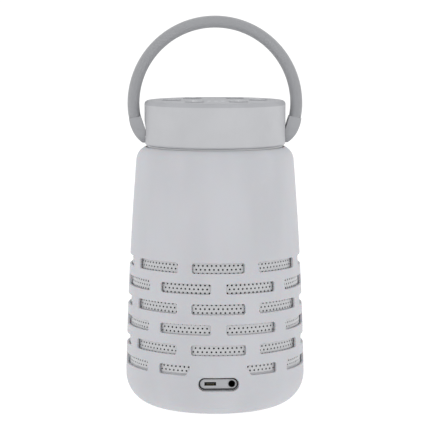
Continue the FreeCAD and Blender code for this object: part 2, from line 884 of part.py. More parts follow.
def battery_holder():
    """Two end plates that clip the cells up against the underside of the lid."""
    centres = cell_centres()
    reach = centres[-1].x + cell_radius + holder_border
    low = centres[0].z - cell_radius * 0.45
    plates = []
    for sign in (-1, 1):
        middle = sign * holder_offset
        plate = box(-reach, reach, middle - holder_thick / 2, middle + holder_thick / 2, low, lid_low)
        for centre in centres:
            bore = rod(cell_radius + pin_clearance,
                       centre + V(0, middle - holder_thick, 0), centre + V(0, middle + holder_thick, 0))
            plate = plate.cut(bore)
        plates.extend(plate.Solids)
    return Part.makeCompound(plates)


def battery_tabs():
    """Nickel strips across the ends of the cells."""
    centres = cell_centres()
    reach = centres[-1].x + tab_width / 2
    z = centres[0].z
    back, front = cell_length / 2 + 0.9, -cell_length / 2
    return Part.makeCompound([
        box(-reach, reach, back, back + tab_thick, z - tab_width / 2, z + tab_width / 2),
        box(-reach, reach, front - tab_thick, front, z - tab_width / 2, z + tab_width / 2),
    ])


def main_board():
    board = cylinder(board_radius, board_low, board_low + board_thick)
    for place in board_screw_places():
        board = board.cut(cylinder(screw_radius + screw_clearance, board_low - 1, board_low + 3, place))
    return board


def board_parts():
    """The larger components on the main board."""
    z = board_low + board_thick
    amplifier = box(-7, 7, 4, 18, z, z + 1.8)
    radio = box(-21, -8, -12, 4, z, z + 2.2)
    processor = box(4, 13, -14, -5, z, z + 1.2)
    inductors = [box(x, x + 6, 20, 26, z, z + 3.2) for x in (-10, 3)]
    capacitors = [cylinder(2.5, z, z + 5.5, V(x, y, 0)) for x, y in ((18, 8), (24, 4), (18, -1))]
    sockets = [box(x, x + 9, -27, -22, z, z + 4.0) for x in (-12, 3)]
    return Part.makeCompound([amplifier, radio, processor] + inductors + capacitors + sockets)


def board_screws():
    z = board_low + board_thick
    places = board_screw_places()
    return Part.makeCompound([screw(p + V(0, 0, z), -Z_AXIS, board_screw) for p in places])


# ---- control housing ------------------------------------------------------------------------
def pin_face():
    """Distance of the flat beside each handle end from the axis."""
    return cap_radius - flat_depth


def control_post_places():
    middle = cap_inner - control_post_radius + 0.4
    return [polar(middle, 90 * i + 20) for i in range(4)]


def control_housing():
    wall = tube(cap_radius, cap_inner, cap_low, pad_low)
    spigot = tube(spigot_radius, spigot_radius - spigot_wall, spigot_low, cap_low + cap_floor)
    floor = tube(cap_radius, spigot_radius - spigot_wall, cap_low, cap_low + cap_floor)
    parts = [wall, spigot, floor]
    for place in control_post_places():
        parts.append(cylinder(control_post_radius, cap_low + 0.5, control_board_low, place))
    for side in SIDES.values():
        inner = V(side * (cap_inner - pin_boss_length), 0, pivot_z)
        parts.append(rod(pin_boss_radius, inner, V(side * (cap_inner + 0.5), 0, pivot_z)))
    housing = fused(*parts)
    lower = [e for e in housing.Edges if e.Closed and abs(e.CenterOfMass.z - cap_low) < 0.01]
    outer = [e for e in lower if e.BoundBox.XLength > 2 * cap_inner]
    housing = housing.makeFillet(cap_edge, outer)
    for side in SIDES.values():
        level = V(0, 0, pivot_z)
        face = V(side * pin_face(), 0, 0) + level
        housing = housing.cut(rod(flat_radius, face, V(side * (cap_radius + 5), 0, 0) + level))
        housing = housing.cut(rod(pin_radius, level + V(side * 20, 0, 0), face + V(side, 0, 0)))
    for place in cap_screw_places():
        seat = place + V(0, 0, cap_low + cap_floor)
        housing = housing.cut(screw_hole(seat, -Z_AXIS, cap_low + cap_floor - spigot_low))
    for place in control_post_places():
        housing = housing.cut(screw_hole(place + V(0, 0, control_board_low), -Z_AXIS, 5.0))
    return housing


def cap_screws():
    z = cap_low + cap_floor
    length = z - spigot_low + 4.5
    return Part.makeCompound([screw(p + V(0, 0, z), -Z_AXIS, length) for p in cap_screw_places()])


def control_board():
    high = control_board_low + board_thick
    board = cylinder(cap_inner - fit_gap, control_board_low, high)
    hole = screw_radius + screw_clearance
    for place in control_post_places():
        board = board.cut(cylinder(hole, control_board_low - 1, high + 1, place))
    return board


def control_screws():
    z = control_board_low + board_thick
    places = control_post_places()
    return Part.makeCompound([screw(p + V(0, 0, z), -Z_AXIS, board_screw) for p in places])


def button_place(index):
    return polar(button_circle, 60 * index - 150)


def lens_places():
    return [polar(lens_circle, 20 * (i - (lens_count - 1) / 2)) for i in range(lens_count)]


def switches():
    z = control_board_low + board_thick
    half = switch_side / 2
    found = []
    for index in range(len(button_names)):
        p = button_place(index)
        body = box(p.x - half, p.x + half, p.y - half, p.y + half, z, z + switch_body)
        found.append(body.fuse(cylinder(switch_plunger, z + switch_body - 0.5, switch_top, p)))
    return Part.makeCompound(found)


def control_pad():
    """The soft cover on top, with a round hole for each button."""
    top = cylinder(cap_radius, pad_low, total_height)
    rim = [e for e in top.Edges if e.Closed and abs(e.CenterOfMass.z - total_height) < 0.01]
    pad = top.makeFillet(pad_edge, rim)
    pad = fused(pad, tube(cap_inner - fit_gap, cap_inner - 2.2, pad_low - 2.0, pad_low + 0.5))
    hole = button_radius + button_gap
    for index in range(len(button_names)):
        pad = pad.cut(cylinder(hole, pad_low - 1, total_height + 1, button_place(index)))
    for place in lens_places():
        pad = pad.cut(cylinder(lens_radius + pin_clearance, pad_low - 1, total_height + 1, place))
    return pad


def button(index):
    p = button_place(index)
    top = total_height + button_proud
    cap = cylinder(button_radius, flange_top - 0.5, top, p)
    rim = [e for e in cap.Edges if e.Closed and abs(e.CenterOfMass.z - top) < 0.01]
    cap = cap.makeFillet(0.5, rim)
    flange = cylinder(button_flange, flange_top - button_flange_thick, flange_top, p)
    stem = cylinder(button_stem, stem_low, flange_top - button_flange_thick + 0.5, p)
    return fused(cap, flange, stem)


def status_lenses():
    return Part.makeCompound([
        cylinder(lens_radius, control_board_low + board_thick + 1.0, total_height, place)
        for place in lens_places()
    ])


# ---- handle ---------------------------------------------------------------------------------
def strap_section(x):
    """The strap's rounded section, standing at (x, 0, arch_z) across the strap."""
    bar = Part.makeBox(
        strap_thick, strap_width, 10, V(x - strap_thick / 2, -strap_width / 2, arch_z)
    )
    upright = [e for e in bar.Edges if abs(e.tangentAt(e.FirstParameter).z) > 0.99]
    bar = bar.makeFillet(strap_corner, upright)
    return min(bar.Faces, key=lambda f: f.CenterOfMass.z)


def tuck_angle():
    return math.degrees(math.asin((arch_z - strap_end_z) / strap_tuck))


def handle_strap():
    section = strap_section(strap_radius)
    arch = section.revolve(V(0, 0, arch_z), -Y_AXIS, 180)
    centre = V(strap_radius - strap_tuck, 0, arch_z)
    tuck = section.revolve(centre, Y_AXIS, tuck_angle())
    return fused(arch, mirrored(tuck, 1), mirrored(tuck, -1))


def strap_end():
    """The middle of the strap's lower end at +X, and its direction outwards along the strap."""
    a = math.radians(tuck_angle())
    centre = V(strap_radius - strap_tuck, 0, arch_z)
    return centre + V(math.cos(a), 0, -math.sin(a)) * strap_tuck, V(math.sin(a), 0, math.cos(a))


def lug_face():
    return pin_face() + lug_gap


def handle_end(side):
    """The moulded end that joins the strap to its pivot pin, following the strap's curve."""
    end, along = strap_end()
    across = V(along.z, 0, -along.x) * (strap_thick / 2)
    inner = lug_face()
    low, knee = pivot_z - lug_radius, pivot_z + lug_knee
    heel, toe = V(inner, 0, low), V(inner + lug_toe, 0, low)
    chord = end + across - toe
    belly = toe + chord * 0.5 + V(chord.z, 0, -chord.x).normalize() * lug_bulge
    outline = Part.Wire([
        Part.makeLine(heel, toe),
        Part.Arc(toe, belly, end + across).toShape(),
        Part.makeLine(end + across, end - across),
        Part.makeLine(end - across, V(inner, 0, knee)),
        Part.makeLine(V(inner, 0, knee), heel),
    ])
    half = lug_radius + 1
    blank = Part.Face(outline).extrude(V(0, 2 * half, 0))
    blank.translate(V(0, -half, 0))
    reach = V(strap_radius + strap_thick, 0, 0)
    level = V(0, 0, pivot_z)
    disc = rod(lug_radius, level + X_AXIS * (inner - 1), level + reach)
    neck = box(inner - 1, reach.x, -strap_width / 2, strap_width / 2, pivot_z, arch_z)
    lug = blank.common(disc.fuse(neck))
    seat = level + X_AXIS * (inner + lug_thick)
    bore = rod(pin_radius + pin_clearance, level + X_AXIS * (inner - 1), seat + X_AXIS)
    counterbore = rod(pin_head_radius + lug_gap, seat, level + reach)
    return mirrored(lug.cut(bore).cut(counterbore), side)


def pivot_pin(side):
    """The headed pin that is pressed into the housing and carries one handle end."""
    outer = lug_face() + lug_thick + pin_head_gap
    shank = rod(pin_radius, V(cap_inner - pin_boss_length, 0, pivot_z), V(outer, 0, pivot_z))
    head = rod(pin_head_radius, V(outer, 0, pivot_z), V(outer + pin_head_thick, 0, pivot_z))
    crown = [e for e in head.Edges if e.Closed and e.CenterOfMass.x > outer + pin_head_thick - 0.01]
    return mirrored(fused(shank, head.makeFillet(0.5, crown)), side)


# ---- all pieces -----------------------------------------------------------------------------
def pieces():
    made = {
        "silicone_sleeve": silicone_sleeve(),
        "body_shell": body_shell(),
        "base_shell": base_shell(),
        "foot_ring": foot_ring(),
        "tripod_insert": tripod_insert(),
        "charging_contacts": charging_contacts(),
        "port_panel": port_panel(),
        "usb_socket": usb_socket(),
        "aux_jack": aux_jack(),
        "deflector": deflector(),
        "base_screws": base_screws(),
        "post_screws": post_screws(),
        "baffle": baffle(),
        "driver_frame": driver_frame(),
        "driver_screws": driver_screws(),
        "driver_cone": driver_cone(),
        "dust_cap": dust_cap(),
        "voice_coil": voice_coil(),
        "driver_surround": driver_surround(),
        "spider": spider(),
        "front_plate": front_plate(),
        "driver_magnet": driver_magnet(),
        "back_plate": back_plate(),
        "chamber": chamber(),
        "lid_gasket": lid_gasket(),
        "chamber_lid": chamber_lid(),
        "lid_screws": lid_screws(),
        "battery_cells": battery_cells(),
        "battery_holder": battery_holder(),
        "battery_tabs": battery_tabs(),
        "main_board": main_board(),
        "board_parts": board_parts(),
        "board_screws": board_screws(),
        "control_housing": control_housing(),
        "cap_screws": cap_screws(),
        "control_board": control_board(),
        "control_screws": control_screws(),
        "switches": switches(),
        "control_pad": control_pad(),
        "status_lenses": status_lenses(),
        "handle_strap": handle_strap(),
    }
    for name, side in SIDES.items():
        made["radiator_frame_" + name] = radiator_frame(side)
        made["radiator_surround_" + name] = radiator_surround(side)
        made["radiator_" + name] = radiator(side)
        made["handle_end_" + name] = handle_end(side)
        made["pivot_pin_" + name] = pivot_pin(side)
    for index, name in enumerate(button_names):
        made[name + "_button"] = button(index)
    return made


def main():
    os.makedirs("parts", exist_ok=True)
    for name, shape in pieces().items():
        shape.exportStep(os.path.join("parts", name + ".step"))


main()
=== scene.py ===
import json
import math

import bmesh
import bpy
from mathutils import Matrix, Vector


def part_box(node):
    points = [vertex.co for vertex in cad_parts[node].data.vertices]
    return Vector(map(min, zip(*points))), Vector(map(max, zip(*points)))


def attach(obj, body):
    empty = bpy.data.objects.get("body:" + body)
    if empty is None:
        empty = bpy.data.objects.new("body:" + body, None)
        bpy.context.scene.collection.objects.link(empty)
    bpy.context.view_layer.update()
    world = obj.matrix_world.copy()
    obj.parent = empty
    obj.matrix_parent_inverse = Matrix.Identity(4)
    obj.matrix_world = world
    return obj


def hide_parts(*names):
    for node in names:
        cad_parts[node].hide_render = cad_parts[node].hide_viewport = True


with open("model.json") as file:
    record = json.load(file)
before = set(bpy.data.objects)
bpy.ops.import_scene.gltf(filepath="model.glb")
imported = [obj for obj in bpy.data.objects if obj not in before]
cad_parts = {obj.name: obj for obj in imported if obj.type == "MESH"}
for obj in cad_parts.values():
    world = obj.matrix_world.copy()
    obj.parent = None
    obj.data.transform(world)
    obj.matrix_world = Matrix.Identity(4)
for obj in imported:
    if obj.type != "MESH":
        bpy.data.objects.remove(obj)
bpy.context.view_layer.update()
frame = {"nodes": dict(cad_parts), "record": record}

bl_info = {
    "name": "Sleeved speaker",
    "version": (1, 0, 0),
    "blender": (4, 5, 0),
    "location": "View3D > Sidebar > Speaker",
    "description": "Finishes a round portable speaker that wears a slotted silicone sleeve",
    "category": "Object",
}

MM = 0.001
FRONT = -90.0
KEYS = ("power", "volume_down", "play", "volume_up", "source", "pairing")
JACK_BORE = 1.86           # millimetres, a little over the bore, so that the painted shade of the hole covers its edge too
STEEL_RIM = 0.33           # millimetres of bright steel round the charging socket's hollow


# ---- settings -------------------------------------------------------------------------------
def length(name, description, default):
    return bpy.props.FloatProperty(
        name=name, description=description, default=default, unit="LENGTH", subtype="DISTANCE", precision=5
    )


def colour(name, description, default):
    return bpy.props.FloatVectorProperty(
        name=name, description=description, default=default, subtype="COLOR", size=3, min=0.0, max=1.0
    )


class SleeveSizes(bpy.types.PropertyGroup):
    base_radius: length("Base radius", "Outside radius above the rounded bottom", 54.1 * MM)
    base_round: length("Base rounding", "Radius of the rounded bottom edge", 19.0 * MM)
    shoulder_radius: length("Shoulder radius", "Outside radius at the top of the flank", 47.5 * MM)
    shoulder_height: length("Shoulder height", "Where the flank turns into the shoulder", 148.0 * MM)
    shoulder_round: length("Shoulder rounding", "Radius of the shoulder's curve", 9.0 * MM)
    bulge: length("Flank bulge", "How far the flank stands outside a straight line", 0.94 * MM)
    hole: length("Underside opening", "Radius of the opening underneath", 29.0 * MM)
    mouth: length("Mouth", "Radius of the opening at the top", 41.0 * MM)
    wall: length("Wall", "Thickness of the silicone", 1.6 * MM)
    row_top: length("Top row height", "Height of the middle of the highest slots", 88.7 * MM)
    row_pitch: length("Row pitch", "Height from one row of slots to the next", 12.0 * MM)
    slot_height: length("Slot height", "Height of a slot", 6.0 * MM)
    slot_corner: length("Slot corner", "Radius of a slot's corners", 1.3 * MM)
    slot_angle: bpy.props.FloatProperty(
        name="Slot angle", description="How far a slot reaches round the sleeve",
        default=math.radians(35), unit="ROTATION", subtype="ANGLE",
    )
    window_width: length("Window width", "Width of the window over the sockets", 24.2 * MM)
    window_height: length("Window height", "Height of the window", 8.1 * MM)
    window_corner: length("Window corner", "Radius of the window's corners", 3.7 * MM)
    window_z: length("Window level", "Height of the middle of the window", 20.7 * MM)


class ShellSizes(bpy.types.PropertyGroup):
    inset: length("Inset", "From the sleeve's outside to the metal", 1.9 * MM)
    wall: length("Wall", "Thickness of the metal", 1.2 * MM)
    grille_low: length("Grille start", "Height of the lowest holes", 27.1 * MM)
    grille_high: length("Grille end", "Height of the highest holes", 96.0 * MM)
    hole: length("Hole radius", "Radius of a grille hole", 0.58 * MM)
    hole_pitch: length("Hole pitch", "Height from one row of holes to the next", 2.31 * MM)
    strap_radius: length("Handle radius", "Radius of the handle's arch at its middle", 49.0 * MM)
    strap_thick: length("Handle thickness", "Thickness of the strap", 7.2 * MM)
    strap_width: length("Handle width", "Width of the strap", 11.0 * MM)
    arch_z: length("Arch level", "Height of the centre of the handle's arch", 182.0 * MM)
    tuck: length("Tuck radius", "Radius of the strap's curve below the arch", 40.0 * MM)
    strap_end: length("Strap end", "Height where the strap meets its moulded ends", 174.0 * MM)


class Colours(bpy.types.PropertyGroup):
    silicone: colour("Silicone", "Colour of the sleeve", (0.53, 0.535, 0.565))
    metal: colour("Metal shell", "Colour of the anodised shell", (0.555, 0.56, 0.575))
    housing: colour("Housing", "Colour of the soft plastic", (0.495, 0.50, 0.52))
    pad: colour("Top pad", "Colour of the soft top and its keys", (0.42, 0.425, 0.445))
    strap: colour("Strap", "Colour of the woven strap", (0.33, 0.335, 0.35))
    mark: colour("Marks", "Colour of the marks on the keys", (0.90, 0.90, 0.91))
    floor: colour("Floor", "Colour of the floor and backdrop", (0.18, 0.18, 0.18))


# ---- shader maths ---------------------------------------------------------------------------
class Field:
    """A number that varies over a surface; arithmetic on it adds Math nodes."""

    def __init__(self, look, socket):
        self.look = look
        self.socket = socket

    def math(self, operation, *values):
        inputs = dict(enumerate(values))
        return self.look.field("ShaderNodeMath", {"operation": operation}, inputs)

    def __add__(self, other):
        return self.math("ADD", self, other)

    def __radd__(self, other):
        return self.math("ADD", other, self)

    def __sub__(self, other):
        return self.math("SUBTRACT", self, other)

    def __rsub__(self, other):
        return self.math("SUBTRACT", other, self)

    def __mul__(self, other):
        return self.math("MULTIPLY", self, other)

    def __rmul__(self, other):
        return self.math("MULTIPLY", other, self)

    def __pow__(self, other):
        return self.math("POWER", self, other)

    def sine(self):
        return self.math("SINE", self)

    def size(self):
        return self.math("ABSOLUTE", self)

    def above(self, level):
        return self.math("GREATER_THAN", self, level)

    def ramp(self, low, high):
        """0 where the number is under low, 1 over high, and smooth between."""
        settings = {"interpolation_type": "SMOOTHSTEP"}
        inputs = {"Value": self, "From Min": low, "From Max": high}
        return self.look.field("ShaderNodeMapRange", settings, inputs)


class Look:
    """A material under construction."""

    def __init__(self, name):
        self.material = bpy.data.materials.new(name)
        self.material.use_nodes = True
        self.tree = self.material.node_tree
        self.shader = self.tree.nodes["Principled BSDF"]

    def node(self, kind, settings=None, inputs=None):
        made = self.tree.nodes.new(kind)
        for key, value in (settings or {}).items():
            setattr(made, key, value)
        for key, value in (inputs or {}).items():
            self.feed(made.inputs[key], value)
        return made

    def feed(self, socket, value):
        if isinstance(value, Field):
            self.tree.links.new(value.socket, socket)
        elif isinstance(value, tuple) and socket.type == "RGBA" and len(value) == 3:
            socket.default_value = (*value, 1.0)
        else:
            socket.default_value = value

    def field(self, kind, settings=None, inputs=None, output=0):
        return Field(self, self.node(kind, settings, inputs).outputs[output])

    def place(self, stretch=(1.0, 1.0, 1.0)):
        """The place on the piece in millimetres, times a stretch."""
        where = self.field("ShaderNodeTexCoord", output="Object")
        scale = tuple(1000.0 * s for s in stretch)
        return self.field("ShaderNodeVectorMath", {"operation": "MULTIPLY"}, {0: where, 1: scale})

    def along(self, axis):
        """One coordinate of the place, in millimetres."""
        return self.field("ShaderNodeSeparateXYZ", None, {0: self.place()}, "XYZ".index(axis))

    def noise(self, size, detail=3.0, stretch=(1.0, 1.0, 1.0)):
        """Soft noise from 0 to 1 whose blotches are about size millimetres wide."""
        inputs = {"Vector": self.place(stretch), "Scale": 1.0 / size, "Detail": detail}
        return self.field("ShaderNodeTexNoise", None, inputs)

    def cells(self, size, stretch=(1.0, 1.0, 1.0)):
        inputs = {"Vector": self.place(stretch), "Scale": 1.0 / size}
        return self.field("ShaderNodeTexVoronoi", None, inputs)

    def attribute(self, name):
        return self.field("ShaderNodeAttribute", {"attribute_name": name}, None, "Fac")

    def mix(self, factor, first, second):
        """first where factor is 0, second where it is 1."""
        made = self.node("ShaderNodeMix", {"data_type": "RGBA"}, {"Factor": factor})
        self.feed(made.inputs[6], first)
        self.feed(made.inputs[7], second)
        return Field(self, made.outputs[2])

    def bump(self, height, depth, strength=1.0):
        """A bump whose highest points stand depth millimetres out."""
        inputs = {"Height": height, "Distance": depth * MM, "Strength": strength}
        return self.field("ShaderNodeBump", None, inputs)

    def finish(self, base, roughness, normal=None, **fixed):
        self.feed(self.shader.inputs["Base Color"], base)
        self.feed(self.shader.inputs["Roughness"], roughness)
        if normal is not None:
            self.feed(self.shader.inputs["Normal"], normal)
        for key, value in fixed.items():
            self.feed(self.shader.inputs[key.replace("_", " ").title().replace("Ior", "IOR")], value)
        return self.material


def shade(base, factor):
    return tuple(max(0.0, min(1.0, channel * factor)) for channel in base)


def moulded(name, base, rough=0.55, grain=0.35, depth=0.02, spread=0.05, **fixed):
    """Moulded plastic or rubber: a fine grain, slow changes of tone and slightly polished patches."""
    look = Look(name)
    fine = look.noise(grain, 2.0)
    slow = look.noise(18.0, 3.0)
    tone = look.mix(slow.ramp(0.3, 0.7), shade(base, 1 - spread), shade(base, 1 + spread))
    speck = look.mix(fine.ramp(0.35, 0.65) * 0.35, tone, shade(base, 1 - 2 * spread))
    roughness = rough + (look.noise(6.0, 4.0) - 0.5) * 0.16
    return look.finish(speck, roughness, look.bump(fine, depth, 0.6), **fixed)


def metal(name, base, rough=0.32, stretch=(1.0, 1.0, 14.0), depth=0.006, spread=0.06):
    """Metal with fine lines; stretch is largest across them."""
    look = Look(name)
    lines = look.noise(0.9, 4.0, stretch)
    slow = look.noise(14.0, 3.0)
    tone = look.mix(lines.ramp(0.3, 0.7), shade(base, 1 - spread), shade(base, 1 + spread))
    aged = look.mix(slow.ramp(0.55, 0.8) * 0.5, tone, shade(base, 0.8))
    roughness = rough + (lines - 0.5) * 0.2 + (slow - 0.5) * 0.12
    return look.finish(aged, roughness, look.bump(lines, depth, 0.5), metallic=1.0)


def silicone(settings):
    """Matt translucent silicone with a dusty bloom and faint flow marks from the mould."""
    look = Look("grey silicone")
    base = tuple(settings.silicone)
    flow = look.noise(26.0, 2.0, (1.0, 1.0, 0.35))
    bloom = look.noise(5.0, 5.0)
    fine = look.noise(0.28, 2.0)
    tone = look.mix(flow.ramp(0.3, 0.7), shade(base, 0.97), shade(base, 1.03))
    dusty = look.mix(bloom.ramp(0.55, 0.8) * 0.3, tone, shade(base, 1.06))
    height = fine * 0.7 + bloom * 0.3
    roughness = 0.56 + (bloom - 0.5) * 0.14 + (flow - 0.5) * 0.08
    return look.finish(
        dusty, roughness, look.bump(height, 0.02, 0.5),
        subsurface_weight=0.18, subsurface_scale=0.002, specular_ior_level=0.22,
    )


def anodised(settings):
    """Bead-blasted anodised aluminium, with a fine even sparkle."""
    look = Look("anodised shell")
    base = tuple(settings.metal)
    blast = look.noise(0.16, 1.0)
    slow = look.noise(30.0, 2.0, (1.0, 1.0, 0.5))
    tone = look.mix(blast.ramp(0.3, 0.7), shade(base, 0.93), shade(base, 1.05))
    slowly = look.mix(slow.ramp(0.3, 0.7) * 0.4, tone, shade(base, 0.92))
    roughness = 0.40 + (blast - 0.5) * 0.18 + (slow - 0.5) * 0.08
    return look.finish(slowly, roughness, look.bump(blast, 0.012, 0.6), metallic=0.55)


def woven(settings):
    """Plain weave that follows the strap, with raised yarns and a worn sheen on their crowns; painted shade
    darkens the hollows of the weave and the gaps between yarns, and painted light brightens the crowns.
    """
    look = Look("woven strap")
    base = tuple(settings.strap)
    turn = 2 * math.pi
    warp = (look.attribute("along") * (turn / 1.5)).sine()
    weft = (look.attribute("around") * (turn / 1.2)).sine()
    over = (warp * weft).ramp(-0.9, 0.9)
    yarn = warp.size() * 0.5 + weft.size() * 0.5
    fuzz = look.noise(0.22, 3.0)
    height = over * 0.6 + yarn * 0.3 + fuzz * 0.25
    # painted shade and painted light: the weave is darker where it dips under and lighter on its crowns,
    # following the bump
    tone = look.mix(over, shade(base, 0.80), shade(base, 1.10))
    heather = look.mix(look.noise(0.9, 3.0, (1.0, 3.0, 1.0)).ramp(0.4, 0.7) * 0.5, tone, shade(base, 1.22))
    # painted shade: the gaps between the yarns are darkened
    shaded_gaps = look.mix(1 - yarn.ramp(0.12, 0.45), heather, shade(base, 0.55))
    roughness = 0.86 - over * 0.12
    return look.finish(shaded_gaps, roughness, look.bump(height, 0.16, 0.9), sheen_weight=0.25, sheen_roughness=0.45)


def cloth(name, base, pitch=0.8):
    """Resin-dipped woven cloth, with painted shade in the low places of the weave and painted light on its
    crowns.
    """
    look = Look(name)
    turn = 2 * math.pi / pitch
    over = ((look.along("X") * turn).sine() * (look.along("Y") * turn).sine()).ramp(-0.8, 0.8)
    # painted shade and painted light: darker where the weave dips, lighter on its crowns, following the bump
    tone = look.mix(over, shade(base, 0.7), shade(base, 1.15))
    patchy = look.mix(look.noise(4.0).ramp(0.5, 0.8) * 0.5, tone, shade(base, 0.6))
    return look.finish(patchy, 0.6 + over * 0.15, look.bump(over, 0.12))


def pulp(name, base):
    """Pressed paper pulp with short fibres."""
    look = Look(name)
    fibres = look.noise(0.5, 6.0, (1.0, 2.5, 1.0))
    clumps = look.noise(2.5, 4.0)
    tone = look.mix(fibres.ramp(0.35, 0.7), shade(base, 0.75), shade(base, 1.35))
    return look.finish(tone, 0.72 + (clumps - 0.5) * 0.2, look.bump(fibres + clumps * 0.5, 0.06))


def board(name, base):
    """A circuit board: lighter copper tracks under the mask, and tinned pads."""
    look = Look(name)
    tracks_x = (look.along("X") * 1.9).sine().size().ramp(0.86, 0.94)
    tracks_y = (look.along("Y") * 1.3).sine().size().ramp(0.88, 0.95)
    region = look.noise(6.0, 0.0).above(0.5)
    tracks = tracks_x * region + tracks_y * (1 - region)
    pads = 1 - look.cells(3.2).ramp(0.16, 0.2)
    masked = look.mix(tracks * 0.7, base, shade(base, 1.9))
    tinned = look.mix(pads, masked, (0.62, 0.60, 0.55))
    return look.finish(tinned, 0.35 + tracks * 0.1 - pads * 0.1, look.bump(tracks + pads, 0.04))


def wound(name, base):
    """Enamelled wire, wound in even turns, with painted shade in the grooves between the turns."""
    look = Look(name)
    turns = (look.along("Z") * (2 * math.pi / 0.32)).sine()
    # painted shade: the grooves between the turns are darkened
    tone = look.mix(turns.ramp(-1.0, 0.6), shade(base, 0.45), base)
    uneven = look.mix(look.noise(2.0).ramp(0.4, 0.7) * 0.4, tone, shade(base, 0.7))
    return look.finish(uneven, 0.34 - turns * 0.05, look.bump(turns, 0.08), metallic=0.9)


def sintered(name, base):
    """Ground ferrite with chipped pores, which are darkened as painted shade."""
    look = Look(name)
    pores = look.cells(0.6).ramp(0.1, 0.35)
    tone = look.mix(look.noise(1.5, 5.0).ramp(0.3, 0.7), shade(base, 0.8), shade(base, 1.3))
    # painted shade: the pits of the pores are darkened
    pitted = look.mix(1 - pores, tone, shade(base, 0.5))
    return look.finish(pitted, 0.62 - pores * 0.12, look.bump(pores, 0.03))


def diffuser(name, base):
    """A small clear light guide with a frosted face."""
    look = Look(name)
    frost = look.noise(0.15, 3.0)
    tone = look.mix(frost.ramp(0.3, 0.7), shade(base, 0.93), base)
    return look.finish(tone, 0.22 + frost * 0.15, look.bump(frost, 0.01), coat_weight=0.3)


def ringed(name, base, pitch=0.5, rough=0.5):
    """Turned or ribbed rubber: fine grooves round the axis, darkened in their hollows as painted shade."""
    look = Look(name)
    across = look.along("X") ** 2.0 + look.along("Y") ** 2.0
    radius = across ** 0.5
    grooves = (radius * (2 * math.pi / pitch)).sine()
    # painted shade: the hollows of the grooves are darkened
    tone = look.mix(grooves.ramp(-1.0, 0.4), shade(base, 0.75), base)
    worn = look.mix(look.noise(5.0).ramp(0.5, 0.75) * 0.4, tone, shade(base, 1.35))
    return look.finish(worn, rough + look.noise(3.0) * 0.2, look.bump(grooves, 0.05))


def finishes(settings):
    """Every material, by the record's slot names."""
    housing, pad = tuple(settings.housing), tuple(settings.pad)
    black, steel = (0.012, 0.012, 0.014), (0.55, 0.55, 0.56)
    return {
        "silicone": silicone(settings),
        "anodised_shell": anodised(settings),
        "soft_plastic": moulded("soft plastic", housing, 0.52, 0.30, 0.02, 0.03),
        "foot_rubber": ringed("foot rubber", (0.028, 0.028, 0.031), 1.0, 0.62),
        "brass": metal("machined brass", (0.62, 0.44, 0.16), 0.26),
        "gold_contact": metal("gold contact", (0.83, 0.62, 0.24), 0.18, (3.0, 3.0, 3.0)),
        "dark_plastic": moulded("dark plastic", (0.016, 0.016, 0.018), 0.45, 0.25),
        "bright_steel": metal("bright steel", steel, 0.26, (6.0, 6.0, 6.0)),
        "black_plastic": moulded("black plastic", black, 0.50, 0.6, 0.04, 0.10),
        "painted_steel": moulded("powder coat", (0.014, 0.014, 0.016), 0.48, 0.45, 0.05, 0.08),
        "cone_paper": pulp("pressed pulp", (0.035, 0.035, 0.038)),
        "copper_coil": wound("copper coil", (0.72, 0.28, 0.12)),
        "surround_rubber": ringed("surround rubber", (0.014, 0.014, 0.016), 0.8, 0.45),
        "spider_cloth": cloth("spider cloth", (0.45, 0.25, 0.06)),
        "zinc_steel": metal("zinc steel", (0.50, 0.50, 0.53), 0.34, (5.0, 5.0, 5.0)),
        "magnet": sintered("ferrite", (0.035, 0.035, 0.038)),
        "cell_wrap": moulded("cell wrap", (0.06, 0.16, 0.36), 0.28, 1.2, 0.01, 0.08, coat_weight=0.3),
        "circuit_board": board("circuit board", (0.010, 0.075, 0.030)),
        "chip_black": moulded("component resin", (0.020, 0.020, 0.022), 0.42, 0.35, 0.03, 0.12),
        "soft_pad": moulded("soft pad", pad, 0.70, 0.40, 0.03, 0.03, specular_ior_level=0.15),
        "lens": diffuser("light guide", (0.80, 0.83, 0.88)),
        "radiator_metal": metal("black anodised", (0.045, 0.045, 0.048), 0.38, (1.0, 8.0, 1.0)),
        "strap": woven(settings),
        "strap_end": moulded("handle end", shade(tuple(settings.strap), 1.12), 0.50, 0.30, 0.02, 0.04),
    }


FINISHES = {}


def dress(obj, slot):
    obj.data.materials.clear()
    obj.data.materials.append(FINISHES[slot])
    return obj


